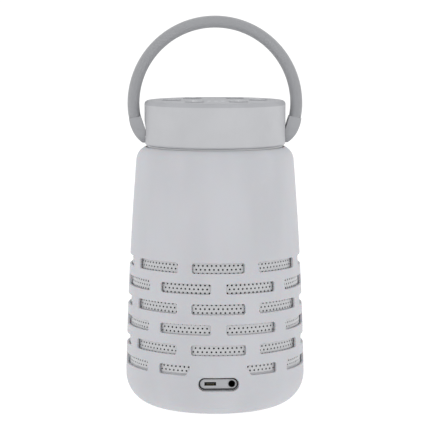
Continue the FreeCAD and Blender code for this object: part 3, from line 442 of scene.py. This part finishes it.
# ---- mesh helpers ---------------------------------------------------------------------------
class Lattice:
    """A mesh whose corners are named by keys, so that patches made apart share their edges."""

    def __init__(self, place, facing=None):
        self.mesh = bmesh.new()
        self.place = place
        self.facing = facing
        self.known = {}
        self.normals = []

    def corner(self, key):
        theta, level, depth = key
        name = (round(theta * 1000) % 360000, round(level * 1e7), round(depth * 1e7))
        if name not in self.known:
            self.known[name] = self.mesh.verts.new(self.place(theta, level, depth))
            outside = self.facing and depth == 0.0
            self.normals.append(self.facing(theta, level) if outside else (0.0, 0.0, 0.0))
        return self.known[name]

    def face(self, keys):
        corners = []
        for key in keys:
            corner = self.corner(key)
            if corner not in corners:
                corners.append(corner)
        if len(corners) > 2:
            self.mesh.faces.new(corners)

    def strip(self, first, second, closed=True):
        """Quads between two rows of keys."""
        count = len(first)
        for i in range(count if closed else count - 1):
            j = (i + 1) % count
            self.face([first[i], first[j], second[j], second[i]])

    def grid(self, thetas, levels, depth):
        for low, high in zip(levels, levels[1:]):
            self.strip([(t, low, depth) for t in thetas], [(t, high, depth) for t in thetas], False)

    def rim(self, thetas, profile):
        """A strip all round between each two points of an edge's profile."""
        for (run_a, depth_a), (run_b, depth_b) in zip(profile, profile[1:]):
            self.strip([(t, run_a, depth_a) for t in thetas], [(t, run_b, depth_b) for t in thetas], False)

    def made(self, name, sharp=35.0):
        bmesh.ops.recalc_face_normals(self.mesh, faces=self.mesh.faces)
        data = bpy.data.meshes.new(name)
        self.mesh.to_mesh(data)
        self.mesh.free()
        obj = placed(name, data, sharp)
        if self.facing:
            data.normals_split_custom_set_from_vertices(self.normals)
        return obj


def placed(name, data, sharp=35.0):
    for polygon in data.polygons:
        polygon.use_smooth = True
    data.set_sharp_from_angle(angle=math.radians(sharp))
    obj = bpy.data.objects.new(name, data)
    bpy.context.scene.collection.objects.link(obj)
    return obj


def spaced(low, high, count):
    return [low + (high - low) * i / count for i in range(count + 1)]


def from_mesh(name, mesh, sharp=35.0):
    data = bpy.data.meshes.new(name)
    mesh.to_mesh(data)
    mesh.free()
    return placed(name, data, sharp)


def join_rows(mesh, rows, closed=False):
    """Quads between rows of corners, each row closed on itself; closed joins the last to the first."""
    pairs = list(zip(rows, rows[1:])) + ([(rows[-1], rows[0])] if closed else [])
    for first, second in pairs:
        for i in range(len(first)):
            j = (i + 1) % len(first)
            mesh.faces.new([first[i], first[j], second[j], second[i]])


class Skin:
    """The outline that sleeve and speaker share: underside, rounded base, flank and shoulder."""

    def __init__(self, sizes):
        start = Vector((sizes.base_radius, sizes.base_round))
        end = Vector((sizes.shoulder_radius, sizes.shoulder_height))
        chord = end - start
        self.flank_radius = (chord.length ** 2 / 4 + sizes.bulge ** 2) / (2 * sizes.bulge)
        outward = Vector((chord.y, -chord.x)).normalized()
        self.flank = (start + end) / 2 - outward * (self.flank_radius - sizes.bulge)
        base = self.tangent(sizes.base_round, sizes.base_round)
        shoulder = self.tangent(sizes.shoulder_height, sizes.shoulder_round)
        low = self.aim(base)
        high = self.aim(shoulder)
        quarter = math.pi / 2
        self.hole = sizes.hole
        self.flat = base.x - sizes.hole
        self.runs = [
            (base, sizes.base_round, -quarter, low),
            (self.flank, self.flank_radius, low, high),
            (shoulder, sizes.shoulder_round, high, quarter),
        ]

    def tangent(self, height, radius):
        reach = self.flank_radius - radius
        return Vector((self.flank.x + math.sqrt(reach ** 2 - (height - self.flank.y) ** 2), height))

    def aim(self, centre):
        return math.atan2(centre.y - self.flank.y, centre.x - self.flank.x)

    def point(self, run, depth=0.0):
        """Radius and height after going that far along the outside, moved inwards by depth."""
        if run <= self.flat:
            return self.hole + run, depth
        run -= self.flat
        for centre, radius, start, end in self.runs:
            span = radius * (end - start)
            if run <= span or centre is self.runs[-1][0]:
                angle = start + run / radius
                reach = radius - depth
                return centre.x + reach * math.cos(angle), centre.y + reach * math.sin(angle)
            run -= span

    def facing(self, run):
        """The way the outside faces after going that far along it, as radius and height."""
        if run <= self.flat:
            return 0.0, -1.0
        run -= self.flat
        for centre, radius, start, end in self.runs:
            span = radius * (end - start)
            if run <= span or centre is self.runs[-1][0]:
                angle = start + run / radius
                return math.cos(angle), math.sin(angle)
            run -= span

    def at_height(self, height):
        """How far along the outside a height is reached."""
        gone = self.flat
        for centre, radius, start, end in self.runs:
            top = centre.y + radius * math.sin(end)
            if height <= top:
                return gone + radius * (math.asin((height - centre.y) / radius) - start)
            gone += radius * (end - start)

    def at_mouth(self, radius, depth):
        """How far along the outside the shoulder, at that depth, has come in to a radius."""
        centre, bend, start, _ = self.runs[-1]
        gone = self.flat + sum(r * (e - s) for _, r, s, e in self.runs[:-1])
        return gone + bend * (math.acos((radius - centre.x) / (bend - depth)) - start)


def round_about(theta, radius, height):
    a = math.radians(theta + FRONT)
    return radius * math.cos(a), radius * math.sin(a), height


LONG, SHORT = 18, 6        # steps along a cell's long and short sides
LONG_TRIM, SHORT_TRIM = 4, 1


def cell_edge(left, right, low, high):
    """The corners round a cell, clockwise from its upper left."""
    across, up = spaced(left, right, LONG), spaced(low, high, SHORT)
    edge = [(t, high) for t in across[:-1]] + [(right, z) for z in up[:0:-1]]
    return edge + [(t, low) for t in across[:0:-1]] + [(left, z) for z in up[:-1]]


def opening_edge(corners, corner_radius, grow, scale):
    """Points round an opening with rounded corners, in step with cell_edge.

    corners are (angle, level) from the upper left, clockwise; scale is length per degree.
    """
    flat = [Vector((t * scale, z)) for t, z in corners]
    radius = corner_radius + grow
    bends = []
    for i, corner in enumerate(flat):
        back = (flat[i - 1] - corner).normalized()
        ahead = (flat[(i + 1) % 4] - corner).normalized()
        half = back.angle(ahead) / 2
        inward = (back + ahead).normalized()
        centre = corner + inward * (corner_radius / math.sin(half))
        first, last = -perpendicular(back, inward), -perpendicular(ahead, inward)
        steps = LONG_TRIM + SHORT_TRIM
        turned = [slerp(first, last, k / steps) for k in range(steps + 1)]
        bends.append([centre + way * radius for way in turned])
    points = []
    for i, bend in enumerate(bends):
        following = bends[(i + 1) % 4]
        trim = (LONG - 2 * LONG_TRIM) if i % 2 == 0 else (SHORT - 2 * SHORT_TRIM)
        points += bend[:-1] + [bend[-1].lerp(following[0], k / trim) for k in range(trim)]
    shift = SHORT_TRIM
    points = points[shift:] + points[:shift]
    return [(p.x / scale, p.y) for p in points]


def perpendicular(way, inward):
    """The direction square to way, on the side that inward points to."""
    square = Vector((-way.y, way.x))
    return square if square.dot(inward) > 0 else -square


def slerp(first, last, share):
    angle = first.angle_signed(last)
    turn = -angle * share
    return Vector((
        first.x * math.cos(turn) - first.y * math.sin(turn),
        first.x * math.sin(turn) + first.y * math.cos(turn),
    ))


# ---- sleeve ---------------------------------------------------------------------------------
ROWS, SLOTS_ROUND = 6, 8
SLOT_LIP, LOW_LIP = 0.45 * MM, 0.35 * MM   # rounding of the slots' edges, and of the lowest row's
LAND_HIGH, LAND_LOW = 17.0, 21.0           # degrees from the front to the lowest slots by the window
WINDOW_BAND = 3.2 * MM                     # of mesh below the window
RIM = 0.5 * MM                             # rounding of the sleeve's open ends
CREST = 0.15 * MM                          # middle of that rounding


def opened_cell(lattice, edge, corners, corner_radius, scale, wall, lip):
    """One cell of the sleeve with a rounded-edged opening through it."""
    def ring(grow, depth):
        return [(t, z, depth) for t, z in opening_edge(corners, corner_radius, grow, scale)]

    def between(inner, share, depth):
        return [
            (a[0] + (b[0] - a[0]) * share, a[1] + (b[1] - a[1]) * share, depth)
            for a, b in zip(edge, inner)
        ]

    outer, inner = ring(lip, 0.0), ring(lip * 0.7, wall)
    rings = [[(t, z, 0.0) for t, z in edge], between(outer, 0.4, 0.0), between(outer, 0.75, 0.0), outer]
    for turn in (30, 60, 90):
        a = math.radians(turn)
        rings.append(ring(lip * (1 - math.sin(a)), lip * (1 - math.cos(a))))
    rings.append(ring(0.0, wall - lip * 0.7))
    for turn in (45, 90):
        a = math.radians(turn)
        rings.append(ring(lip * 0.7 * (1 - math.cos(a)), wall - lip * 0.7 * (1 - math.sin(a))))
    rings += [between(inner, 0.6, wall), [(t, z, wall) for t, z in edge]]
    for first, second in zip(rings, rings[1:]):
        lattice.strip(first, second)


def sleeve_mesh(sizes):
    skin = Skin(sizes)

    def place(theta, run, depth):
        return round_about(theta, *skin.point(run, depth))

    def facing(theta, run):
        return round_about(theta, *skin.facing(run))

    lattice = Lattice(place, facing)
    wall, half_pitch, half_slot = sizes.wall, 180.0 / SLOTS_ROUND, math.degrees(sizes.slot_angle) / 2
    step = 2 * half_pitch / LONG
    thetas = [step * i for i in range(int(360 / step) + 1)]
    ends = skin.at_mouth(sizes.mouth, wall)
    half_row = sizes.row_pitch / 2
    window_top = sizes.window_z + sizes.window_height / 2 + SLOT_LIP
    window_low = sizes.window_z - sizes.window_height / 2 - WINDOW_BAND
    slot_half = sizes.slot_height / 2

    for row in range(ROWS):
        z = sizes.row_top - row * sizes.row_pitch
        lowest = row == ROWS - 1
        low = skin.at_height(window_top if lowest else z - half_row)
        high = skin.at_height(z + half_row)
        slot_low, slot_high = skin.at_height(z - slot_half), skin.at_height(z + slot_half)
        scale = skin.point((slot_low + slot_high) / 2)[0] * math.pi / 180
        for i in range(SLOTS_ROUND):
            middle = 2 * half_pitch * i + (half_pitch if row % 2 else 0.0)
            left, right = middle - half_pitch, middle + half_pitch
            span = [middle - half_slot, middle + half_slot]
            upper, lower = list(span), list(span)
            if lowest and i == 0:
                upper[0], lower[0] = LAND_HIGH, LAND_LOW
            if lowest and i == SLOTS_ROUND - 1:
                upper[1], lower[1] = 360.0 - LAND_HIGH, 360.0 - LAND_LOW
            corners = [(upper[0], slot_high), (upper[1], slot_high)]
            corners += [(lower[1], slot_low), (lower[0], slot_low)]
            edge = cell_edge(left, right, low, high)
            lip = LOW_LIP if lowest else SLOT_LIP
            opened_cell(lattice, edge, corners, sizes.slot_corner, scale, wall, lip)

    low, high = skin.at_height(window_low), skin.at_height(window_top)
    radius = sizes.base_radius
    reach = math.degrees(sizes.window_width / 2 / radius)
    top = skin.at_height(sizes.window_z + sizes.window_height / 2)
    bottom = skin.at_height(sizes.window_z - sizes.window_height / 2)
    corners = [(-reach, top), (reach, top), (reach, bottom), (-reach, bottom)]
    edge = cell_edge(-half_pitch, half_pitch, low, high)
    opened_cell(lattice, edge, corners, sizes.window_corner, radius * math.pi / 180, wall, LOW_LIP)
    beside = [t for t in thetas if half_pitch - 0.01 <= t <= 360 - half_pitch + 0.01]
    for depth in (0.0, wall):
        lattice.grid(beside, spaced(low, high, SHORT), depth)
        top_row = skin.at_height(sizes.row_top + half_row)
        lattice.grid(thetas, spaced(top_row, ends - RIM, 36), depth)
        lattice.grid(thetas, spaced(RIM, low, 26), depth)
    for edge_run, away in ((ends, -1), (0.0, 1)):
        rim = [(edge_run + away * RIM, 0.0)]
        rim += [(edge_run + away * CREST, CREST), (edge_run, RIM)]
        rim += [(edge_run, wall - RIM), (edge_run + away * CREST, wall - CREST)]
        rim.append((edge_run + away * RIM, wall))
        lattice.rim(thetas, rim)
    return lattice


class SPEAKER_OT_sleeve(bpy.types.Operator):
    """Build the soft sleeve with its slots, socket window and open ends"""

    bl_idname = "speaker.sleeve"
    bl_label = "Silicone sleeve"

    def execute(self, context):
        lattice = sleeve_mesh(context.scene.sleeve_sizes)
        sleeve = dress(lattice.made("sleeve_skin", 60.0), "silicone")
        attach(sleeve, "sleeve")
        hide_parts("silicone_sleeve")
        return {"FINISHED"}


# ---- metal shell ----------------------------------------------------------------------------
COLUMNS = 120              # of grille holes round the shell
HOLE_SIDES = 8
CHAMFER = 0.2 * MM         # of the shell's open ends
NECK_GAP = 0.3 * MM        # between the shell's neck and the sleeve's mouth


def shell_mesh(sleeve, sizes):
    skin = Skin(sleeve)
    low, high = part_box("body_shell")
    outside, inside = sizes.inset, sizes.inset + sizes.wall
    neck = sleeve.mouth - NECK_GAP
    turn = skin.at_mouth(neck, outside)
    turn_height = skin.point(turn, outside)[1]

    def place(theta, run, depth):
        if run <= turn:
            return round_about(theta, *skin.point(run, depth))
        return round_about(theta, neck + outside - depth, turn_height + run - turn)

    lattice = Lattice(place)
    pitch = 360.0 / COLUMNS
    start = skin.at_height(low.z)
    grille_low, grille_high = skin.at_height(sizes.grille_low), skin.at_height(sizes.grille_high)
    rows = round((grille_high - grille_low) / sizes.hole_pitch)
    levels = spaced(grille_low, grille_high, rows)
    for row, (below, above) in enumerate(zip(levels, levels[1:])):
        middle = (below + above) / 2
        scale = skin.point(middle, outside)[0] * math.pi / 180
        for column in range(COLUMNS):
            centre = pitch * (column + 0.5 * (row % 2))
            left, right = centre - pitch / 2, centre + pitch / 2
            edge = [
                (left, above), (centre, above), (right, above), (right, middle),
                (right, below), (centre, below), (left, below), (left, middle),
            ]
            hole = []
            for k in range(HOLE_SIDES):
                a = math.radians(135 - 360 / HOLE_SIDES * k)
                hole.append((centre + sizes.hole * math.cos(a) / scale, middle + sizes.hole * math.sin(a)))
            rings = [
                [(t, z, outside) for t, z in edge],
                [(t, z, outside) for t, z in hole],
                [(t, z, inside) for t, z in hole],
                [(t, z, inside) for t, z in edge],
            ]
            for first, second in zip(rings, rings[1:]):
                lattice.strip(first, second)
    thetas = [pitch / 2 * i for i in range(2 * COLUMNS + 1)]
    end = turn + high.z - turn_height
    plain = spaced(grille_high, turn, 12) + [end - CHAMFER]
    for depth in (outside, inside):
        lattice.grid(thetas, [start + CHAMFER, grille_low], depth)
        lattice.grid(thetas, plain, depth)
    for edge_run, away in ((end, -1), (start, 1)):
        rim = [
            (edge_run + away * CHAMFER, outside), (edge_run, outside + CHAMFER),
            (edge_run, inside - CHAMFER), (edge_run + away * CHAMFER, inside),
        ]
        lattice.rim(thetas, rim)
    return lattice


class SPEAKER_OT_shell(bpy.types.Operator):
    """Build the metal shell with its perforated grille"""

    bl_idname = "speaker.shell"
    bl_label = "Metal shell"

    def execute(self, context):
        scene = context.scene
        lattice = shell_mesh(scene.sleeve_sizes, scene.shell_sizes)
        shell = dress(lattice.made("metal_shell", 40.0), "anodised_shell")
        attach(shell, "speaker")
        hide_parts("body_shell")
        return {"FINISHED"}


# ---- handle ---------------------------------------------------------------------------------
def strap_path(sizes, count=180):
    """Middle points of the strap with their outward directions, from one end to the other."""
    drop = math.asin((sizes.arch_z - sizes.strap_end) / sizes.tuck)
    whole = math.pi * sizes.strap_radius + 2 * sizes.tuck * drop
    points = []
    for i in range(count + 1):
        run = whole * i / count - sizes.tuck * drop
        arch = math.pi * sizes.strap_radius
        shift = sizes.strap_radius - sizes.tuck
        if run < 0:
            centre, radius, angle = shift, sizes.tuck, run / sizes.tuck
        elif run > arch:
            centre, radius, angle = -shift, sizes.tuck, math.pi + (run - arch) / sizes.tuck
        else:
            centre, radius, angle = 0.0, sizes.strap_radius, run / sizes.strap_radius
        out = Vector((math.cos(angle), 0.0, math.sin(angle)))
        points.append((Vector((centre, 0.0, sizes.arch_z)) + out * radius, out, run))
    return points


def strap_section(sizes, count=56):
    """The strap's section, softly squared, as (across, out) points with their distance round."""
    half_width, half_thick = sizes.strap_width / 2, sizes.strap_thick / 2
    power = 2 / 2.5
    found = []
    for i in range(count):
        a = 2 * math.pi * i / count
        c, s = math.cos(a), math.sin(a)
        found.append(Vector((
            half_width * math.copysign(abs(c) ** power, c), half_thick * math.copysign(abs(s) ** power, s)
        )))
    gone, runs = 0.0, []
    for i, point in enumerate(found):
        runs.append(gone)
        gone += (found[(i + 1) % count] - point).length
    return list(zip(found, runs))


class SPEAKER_OT_handle(bpy.types.Operator):
    """Build the woven strap between the handle's moulded ends"""

    bl_idname = "speaker.handle"
    bl_label = "Handle strap"

    def execute(self, context):
        sizes = context.scene.shell_sizes
        mesh = bmesh.new()
        along = mesh.verts.layers.float.new("along")
        around = mesh.verts.layers.float.new("around")
        section = strap_section(sizes)
        rows = []
        for middle, out, run in strap_path(sizes):
            row = []
            for point, distance in section:
                vertex = mesh.verts.new(middle + Vector((0.0, point.x, 0.0)) + out * point.y)
                vertex[along], vertex[around] = run / MM, distance / MM
                row.append(vertex)
            rows.append(row)
        join_rows(mesh, rows)
        mesh.faces.new(rows[0][::-1])
        mesh.faces.new(rows[-1])
        bmesh.ops.recalc_face_normals(mesh, faces=mesh.faces)
        strap = dress(from_mesh("woven_strap", mesh, 50.0), "strap")
        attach(strap, "handle")
        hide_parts("handle_strap")
        return {"FINISHED"}


# ---- small details --------------------------------------------------------------------------
def plate(mesh, outline, low, high):
    """A flat plate with that outline of (x, y) points."""
    under = [mesh.verts.new((x, y, low)) for x, y in outline]
    over = [mesh.verts.new((x, y, high)) for x, y in outline]
    mesh.faces.new(under[::-1])
    mesh.faces.new(over)
    for i in range(len(outline)):
        j = (i + 1) % len(outline)
        mesh.faces.new([under[i], under[j], over[j], over[i]])


def band(mesh, centre, radius, thick, start, end, low, high, steps=36):
    """A flat arc; a whole turn closes on itself."""
    whole = abs(end - start) > 359.9
    rows = []
    for i in range(steps if whole else steps + 1):
        a = math.radians(start + (end - start) * i / steps)
        row = []
        for reach, z in ((radius, low), (radius + thick, low), (radius + thick, high), (radius, high)):
            row.append(mesh.verts.new((centre[0] + reach * math.cos(a), centre[1] + reach * math.sin(a), z)))
        rows.append(row)
    join_rows(mesh, rows, whole)
    if not whole:
        mesh.faces.new(rows[0][::-1])
        mesh.faces.new(rows[-1])


def bar(x0, x1, y0, y1):
    return [(x0, y0), (x1, y0), (x1, y1), (x0, y1)]


def mark_mesh(key, low, high):
    """The mark on a key, drawn about the origin."""
    mesh = bmesh.new()
    arm, half, ring = 2.1 * MM, 0.26 * MM, 0.45 * MM
    if key == "power":
        band(mesh, (0, 0), 1.6 * MM, ring, 125, 415, low, high)
        plate(mesh, bar(-half, half, 0.5 * MM, 2.4 * MM), low, high)
    elif key == "volume_down":
        plate(mesh, bar(-arm, arm, -half, half), low, high)
    elif key == "volume_up":
        cross = [(arm, -half), (arm, half), (half, half), (half, arm), (-half, arm), (-half, half)]
        plate(mesh, cross + [(-x, -y) for x, y in cross], low, high)
    elif key == "play":
        plate(mesh, [(-1.3 * MM, -1.7 * MM), (1.8 * MM, 0.0), (-1.3 * MM, 1.7 * MM)], low, high)
    elif key == "source":
        band(mesh, (0, 0), 1.5 * MM, ring, 0, 360, low, high)
        band(mesh, (0, 0), 0.15 * MM, ring, 0, 360, low, high, 18)
    else:
        for side in (-1, 1):
            band(mesh, (side * 1.0 * MM, 0), 0.85 * MM, ring, 0, 360, low + side * 2e-5, high, 28)
    bmesh.ops.recalc_face_normals(mesh, faces=mesh.faces)
    return mesh


class SPEAKER_OT_marks(bpy.types.Operator):
    """Put a raised mark on each key"""

    bl_idname = "speaker.marks"
    bl_label = "Key marks"

    def execute(self, context):
        paint = moulded("mark ink", tuple(context.scene.speaker_colours.mark), 0.4, 0.2, 0.005, 0.02)
        for key in KEYS:
            low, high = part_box(key + "_button")
            centre = (low + high) / 2
            mesh = mark_mesh(key, high.z - 0.1 * MM, high.z + 0.07 * MM)
            bmesh.ops.translate(mesh, verts=mesh.verts, vec=(centre.x, centre.y, 0))
            mark = from_mesh(key + "_mark", mesh)
            mark.data.materials.append(paint)
            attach(mark, key + "_key")
        return {"FINISHED"}


SEAL_INSET_SIDE, SEAL_INSET_TOP = 0.62 * MM, 0.52 * MM    # of the seal inside the sleeve's window
SEAL_FLAT = 0.05 * MM                                     # straight part of the seal's ends


def seal_piece():
    """A thin rubber seal round the face of the socket panel."""
    low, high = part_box("port_panel")
    middle = (low + high) / 2
    half_width = window_size().x / 2 - SEAL_INSET_SIDE
    half_height = window_size().y / 2 - SEAL_INSET_TOP
    corner = half_height - SEAL_FLAT
    section = [(0.0, 0.35), (0.0, -0.10), (0.22, -0.28), (0.62, -0.28), (0.80, -0.10), (0.80, 0.35)]
    mesh, rows, steps = bmesh.new(), [], 16
    for side_x, side_z, start in ((1, 1, 0), (-1, 1, 90), (-1, -1, 180), (1, -1, 270)):
        for i in range(steps + 1):
            a = math.radians(start + 90 * i / steps)
            row = []
            for inward, back in section:
                reach = corner - inward * MM
                x = side_x * (half_width - corner) + reach * math.cos(a)
                z = side_z * (half_height - corner) + reach * math.sin(a)
                row.append(mesh.verts.new((middle.x + x, low.y + back * MM, middle.z + z)))
            rows.append(row)
    join_rows(mesh, rows, True)
    bmesh.ops.recalc_face_normals(mesh, faces=mesh.faces)
    return from_mesh("panel_seal", mesh, 50.0)


def window_size():
    """Width and height of the sleeve's socket window."""
    sizes = bpy.context.scene.sleeve_sizes
    return Vector((sizes.window_width, sizes.window_height))


def socket_steel():
    """Bright steel whose tongue is moulded in black, with the hollow round it painted black as shade."""
    look = Look("charging socket")
    low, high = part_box("usb_socket")
    middle, half = (low + high) / 2, (high - low) / 2
    across = (look.along("X") - middle.x / MM).size()
    up = (look.along("Z") - middle.z / MM).size()
    # painted shade: everything inside the steel rim, hollow and tongue alike, is coloured black
    inside = (1 - across.above(half.x / MM - STEEL_RIM)) * (1 - up.above(half.z / MM - STEEL_RIM))
    lines = look.noise(0.9, 4.0, (6.0, 6.0, 6.0))
    steel = look.mix(lines.ramp(0.3, 0.7), (0.50, 0.50, 0.51), (0.58, 0.58, 0.59))
    black = look.mix(lines, (0.010, 0.010, 0.011), (0.018, 0.018, 0.020))
    base = look.mix(inside, steel, black)
    roughness = 0.28 + inside * 0.25 + lines * 0.06
    return look.finish(base, roughness, look.bump(lines, 0.006, 0.4), metallic=1 - inside)


def jack_plastic(settings):
    """Soft plastic with its bore and the bore's edge painted black as the shade in the hole."""
    look = Look("audio jack")
    low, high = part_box("aux_jack")
    middle = (low + high) / 2
    across = look.along("X") - middle.x / MM
    up = look.along("Z") - middle.z / MM
    # painted shade: a black disc over the bore and its edge
    inside = 1 - (across ** 2.0 + up ** 2.0).above(JACK_BORE ** 2)
    fine = look.noise(0.3, 2.0)
    base = tuple(settings.housing)
    face = look.mix(fine.ramp(0.35, 0.65), base, shade(base, 0.96))
    black = look.mix(fine, (0.008, 0.008, 0.009), (0.014, 0.014, 0.015))
    return look.finish(look.mix(inside, face, black), 0.50 + fine * 0.08, look.bump(fine, 0.02, 0.6))


class SPEAKER_OT_sockets(bpy.types.Operator):
    """Add the seal round the sockets, the charging contacts and the ring round the audio jack"""

    bl_idname = "speaker.sockets"
    bl_label = "Socket details"

    def execute(self, context):
        low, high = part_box("usb_socket")
        centre = (low + high) / 2
        mesh = bmesh.new()
        for i in range(-2, 3):
            x = centre.x + i * 0.9 * MM
            outline = bar(x - 0.22 * MM, x + 0.22 * MM, low.y + 1.3 * MM, high.y - 1.2 * MM)
            plate(mesh, outline, centre.z - 0.47 * MM, centre.z - 0.33 * MM)
        bmesh.ops.recalc_face_normals(mesh, faces=mesh.faces)
        contacts = dress(from_mesh("usb_contacts", mesh), "gold_contact")

        low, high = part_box("aux_jack")
        middle = (low + high) / 2
        mesh = bmesh.new()
        profile = [(1.84, 0.5), (1.84, 0.0), (1.90, -0.10), (2.02, -0.10), (2.10, 0.0), (2.10, 0.5)]
        steps, rows = 64, []
        for i in range(steps):
            a = 2 * math.pi * i / steps
            row = []
            for radius, back in profile:
                x, z = radius * math.cos(a), radius * math.sin(a)
                row.append(mesh.verts.new((middle.x + x * MM, low.y + back * MM, middle.z + z * MM)))
            rows.append(row)
        join_rows(mesh, rows, True)
        bmesh.ops.recalc_face_normals(mesh, faces=mesh.faces)
        ring = dress(from_mesh("jack_ring", mesh, 50.0), "radiator_metal")
        seal = dress(seal_piece(), "surround_rubber")
        pieces = ((contacts, "gold_contact"), (ring, "radiator_metal"), (seal, "surround_rubber"))
        for piece, slot in pieces:
            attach(piece, "speaker")
        frame["nodes"]["usb_socket"].data.materials[0] = socket_steel()
        frame["nodes"]["aux_jack"].data.materials[0] = jack_plastic(context.scene.speaker_colours)
        return {"FINISHED"}


# ---- frame and stage ------------------------------------------------------------------------
class SPEAKER_OT_finishes(bpy.types.Operator):
    """Make every finish and give each piece of the frame its own"""

    bl_idname = "speaker.finishes"
    bl_label = "Finishes"

    def execute(self, context):
        FINISHES.update(finishes(context.scene.speaker_colours))
        for entry in frame["record"]["subparts"]:
            dress(frame["nodes"][entry["node"]], entry["material_slot"])
        return {"FINISHED"}


def light(name, kind, energy, at, target, **settings):
    data = bpy.data.lights.new(name, kind)
    data.energy = energy
    for key, value in settings.items():
        setattr(data, key, value)
    obj = bpy.data.objects.new(name, data)
    obj.location = at
    obj.rotation_euler = (Vector(target) - Vector(at)).to_track_quat("-Z", "Y").to_euler()
    bpy.context.scene.collection.objects.link(obj)


class SPEAKER_OT_stage(bpy.types.Operator):
    """Set up the pale floor, the soft lights and the camera"""

    bl_idname = "speaker.stage"
    bl_label = "Stage"

    def execute(self, context):
        scene = context.scene
        mesh = bmesh.new()
        rows = []
        profile = [(-6.0, 0.0), (2.0, 0.0)]
        for i in range(1, 13):
            a = math.radians(90 * i / 12)
            profile.append((2.0 + 1.2 * math.sin(a), 1.2 - 1.2 * math.cos(a)))
        profile.append((3.2, 6.0))
        for y, z in profile:
            rows.append([mesh.verts.new((x, y, z)) for x in (-6.0, 6.0)])
        for first, second in zip(rows, rows[1:]):
            mesh.faces.new([first[0], first[1], second[1], second[0]])
        floor = from_mesh("floor", mesh, 60.0)
        look = Look("paper floor")
        tone = tuple(scene.speaker_colours.floor)
        grain = look.noise(2.0, 3.0)
        floor.data.materials.append(look.finish(
            look.mix(grain * 0.2, tone, shade(tone, 0.98)), 0.9, specular_ior_level=0.1,
            emission_color=(1.0, 1.0, 1.0), emission_strength=0.92,
        ))

        target = (0.0, 0.0, 0.11)
        light("key_light", "AREA", 4.6, (-0.6, -0.9, 1.7), target, shape="DISK", size=1.2)
        light("fill_light", "AREA", 1.8, (1.2, -0.9, 0.8), target, shape="DISK", size=1.2)
        light("rim_light", "AREA", 1.6, (0.2, 1.3, 1.1), target, shape="DISK", size=1.0)
        world = bpy.data.worlds.new("studio")
        world.use_nodes = True
        background = world.node_tree.nodes["Background"]
        background.inputs["Color"].default_value = (1.0, 1.0, 1.0, 1.0)
        background.inputs["Strength"].default_value = 0.86
        scene.world = world
        scene.view_settings.view_transform = "Standard"

        data = bpy.data.cameras.new("camera")
        data.lens = 160.0
        camera = bpy.data.objects.new("camera", data)
        turn, distance, height = math.radians(2.3), 1.15, 0.242
        camera.location = (-distance * math.sin(turn), -distance * math.cos(turn), height)
        aim = Vector((0.0, 0.0, 0.1145)) - camera.location
        camera.rotation_euler = aim.to_track_quat("-Z", "Y").to_euler()
        scene.collection.objects.link(camera)
        scene.camera = camera
        return {"FINISHED"}


class SPEAKER_PT_panel(bpy.types.Panel):
    """Lists the sizes, the colours and the steps that build the pieces"""

    bl_label = "Sleeved speaker"
    bl_idname = "SPEAKER_PT_panel"
    bl_space_type = "VIEW_3D"
    bl_region_type = "UI"
    bl_category = "Speaker"

    def draw(self, context):
        scene = context.scene
        for group in (scene.sleeve_sizes, scene.shell_sizes, scene.speaker_colours):
            column = self.layout.column()
            for name in group.__annotations__:
                column.prop(group, name)
        for operator in OPERATORS:
            self.layout.operator(operator.bl_idname)


GROUPS = {"sleeve_sizes": SleeveSizes, "shell_sizes": ShellSizes, "speaker_colours": Colours}
OPERATORS = (
    SPEAKER_OT_finishes,
    SPEAKER_OT_sleeve,
    SPEAKER_OT_shell,
    SPEAKER_OT_handle,
    SPEAKER_OT_marks,
    SPEAKER_OT_sockets,
    SPEAKER_OT_stage,
)


def register():
    for item in (*GROUPS.values(), *OPERATORS, SPEAKER_PT_panel):
        bpy.utils.register_class(item)
    for name, group in GROUPS.items():
        setattr(bpy.types.Scene, name, bpy.props.PointerProperty(type=group))


def unregister():
    for name in GROUPS:
        delattr(bpy.types.Scene, name)
    for item in reversed((*GROUPS.values(), *OPERATORS, SPEAKER_PT_panel)):
        bpy.utils.unregister_class(item)


def main():
    register()
    for operator in OPERATORS:
        area, name = operator.bl_idname.split(".")
        getattr(getattr(bpy.ops, area), name)()


if __name__ == "__main__":
    main()
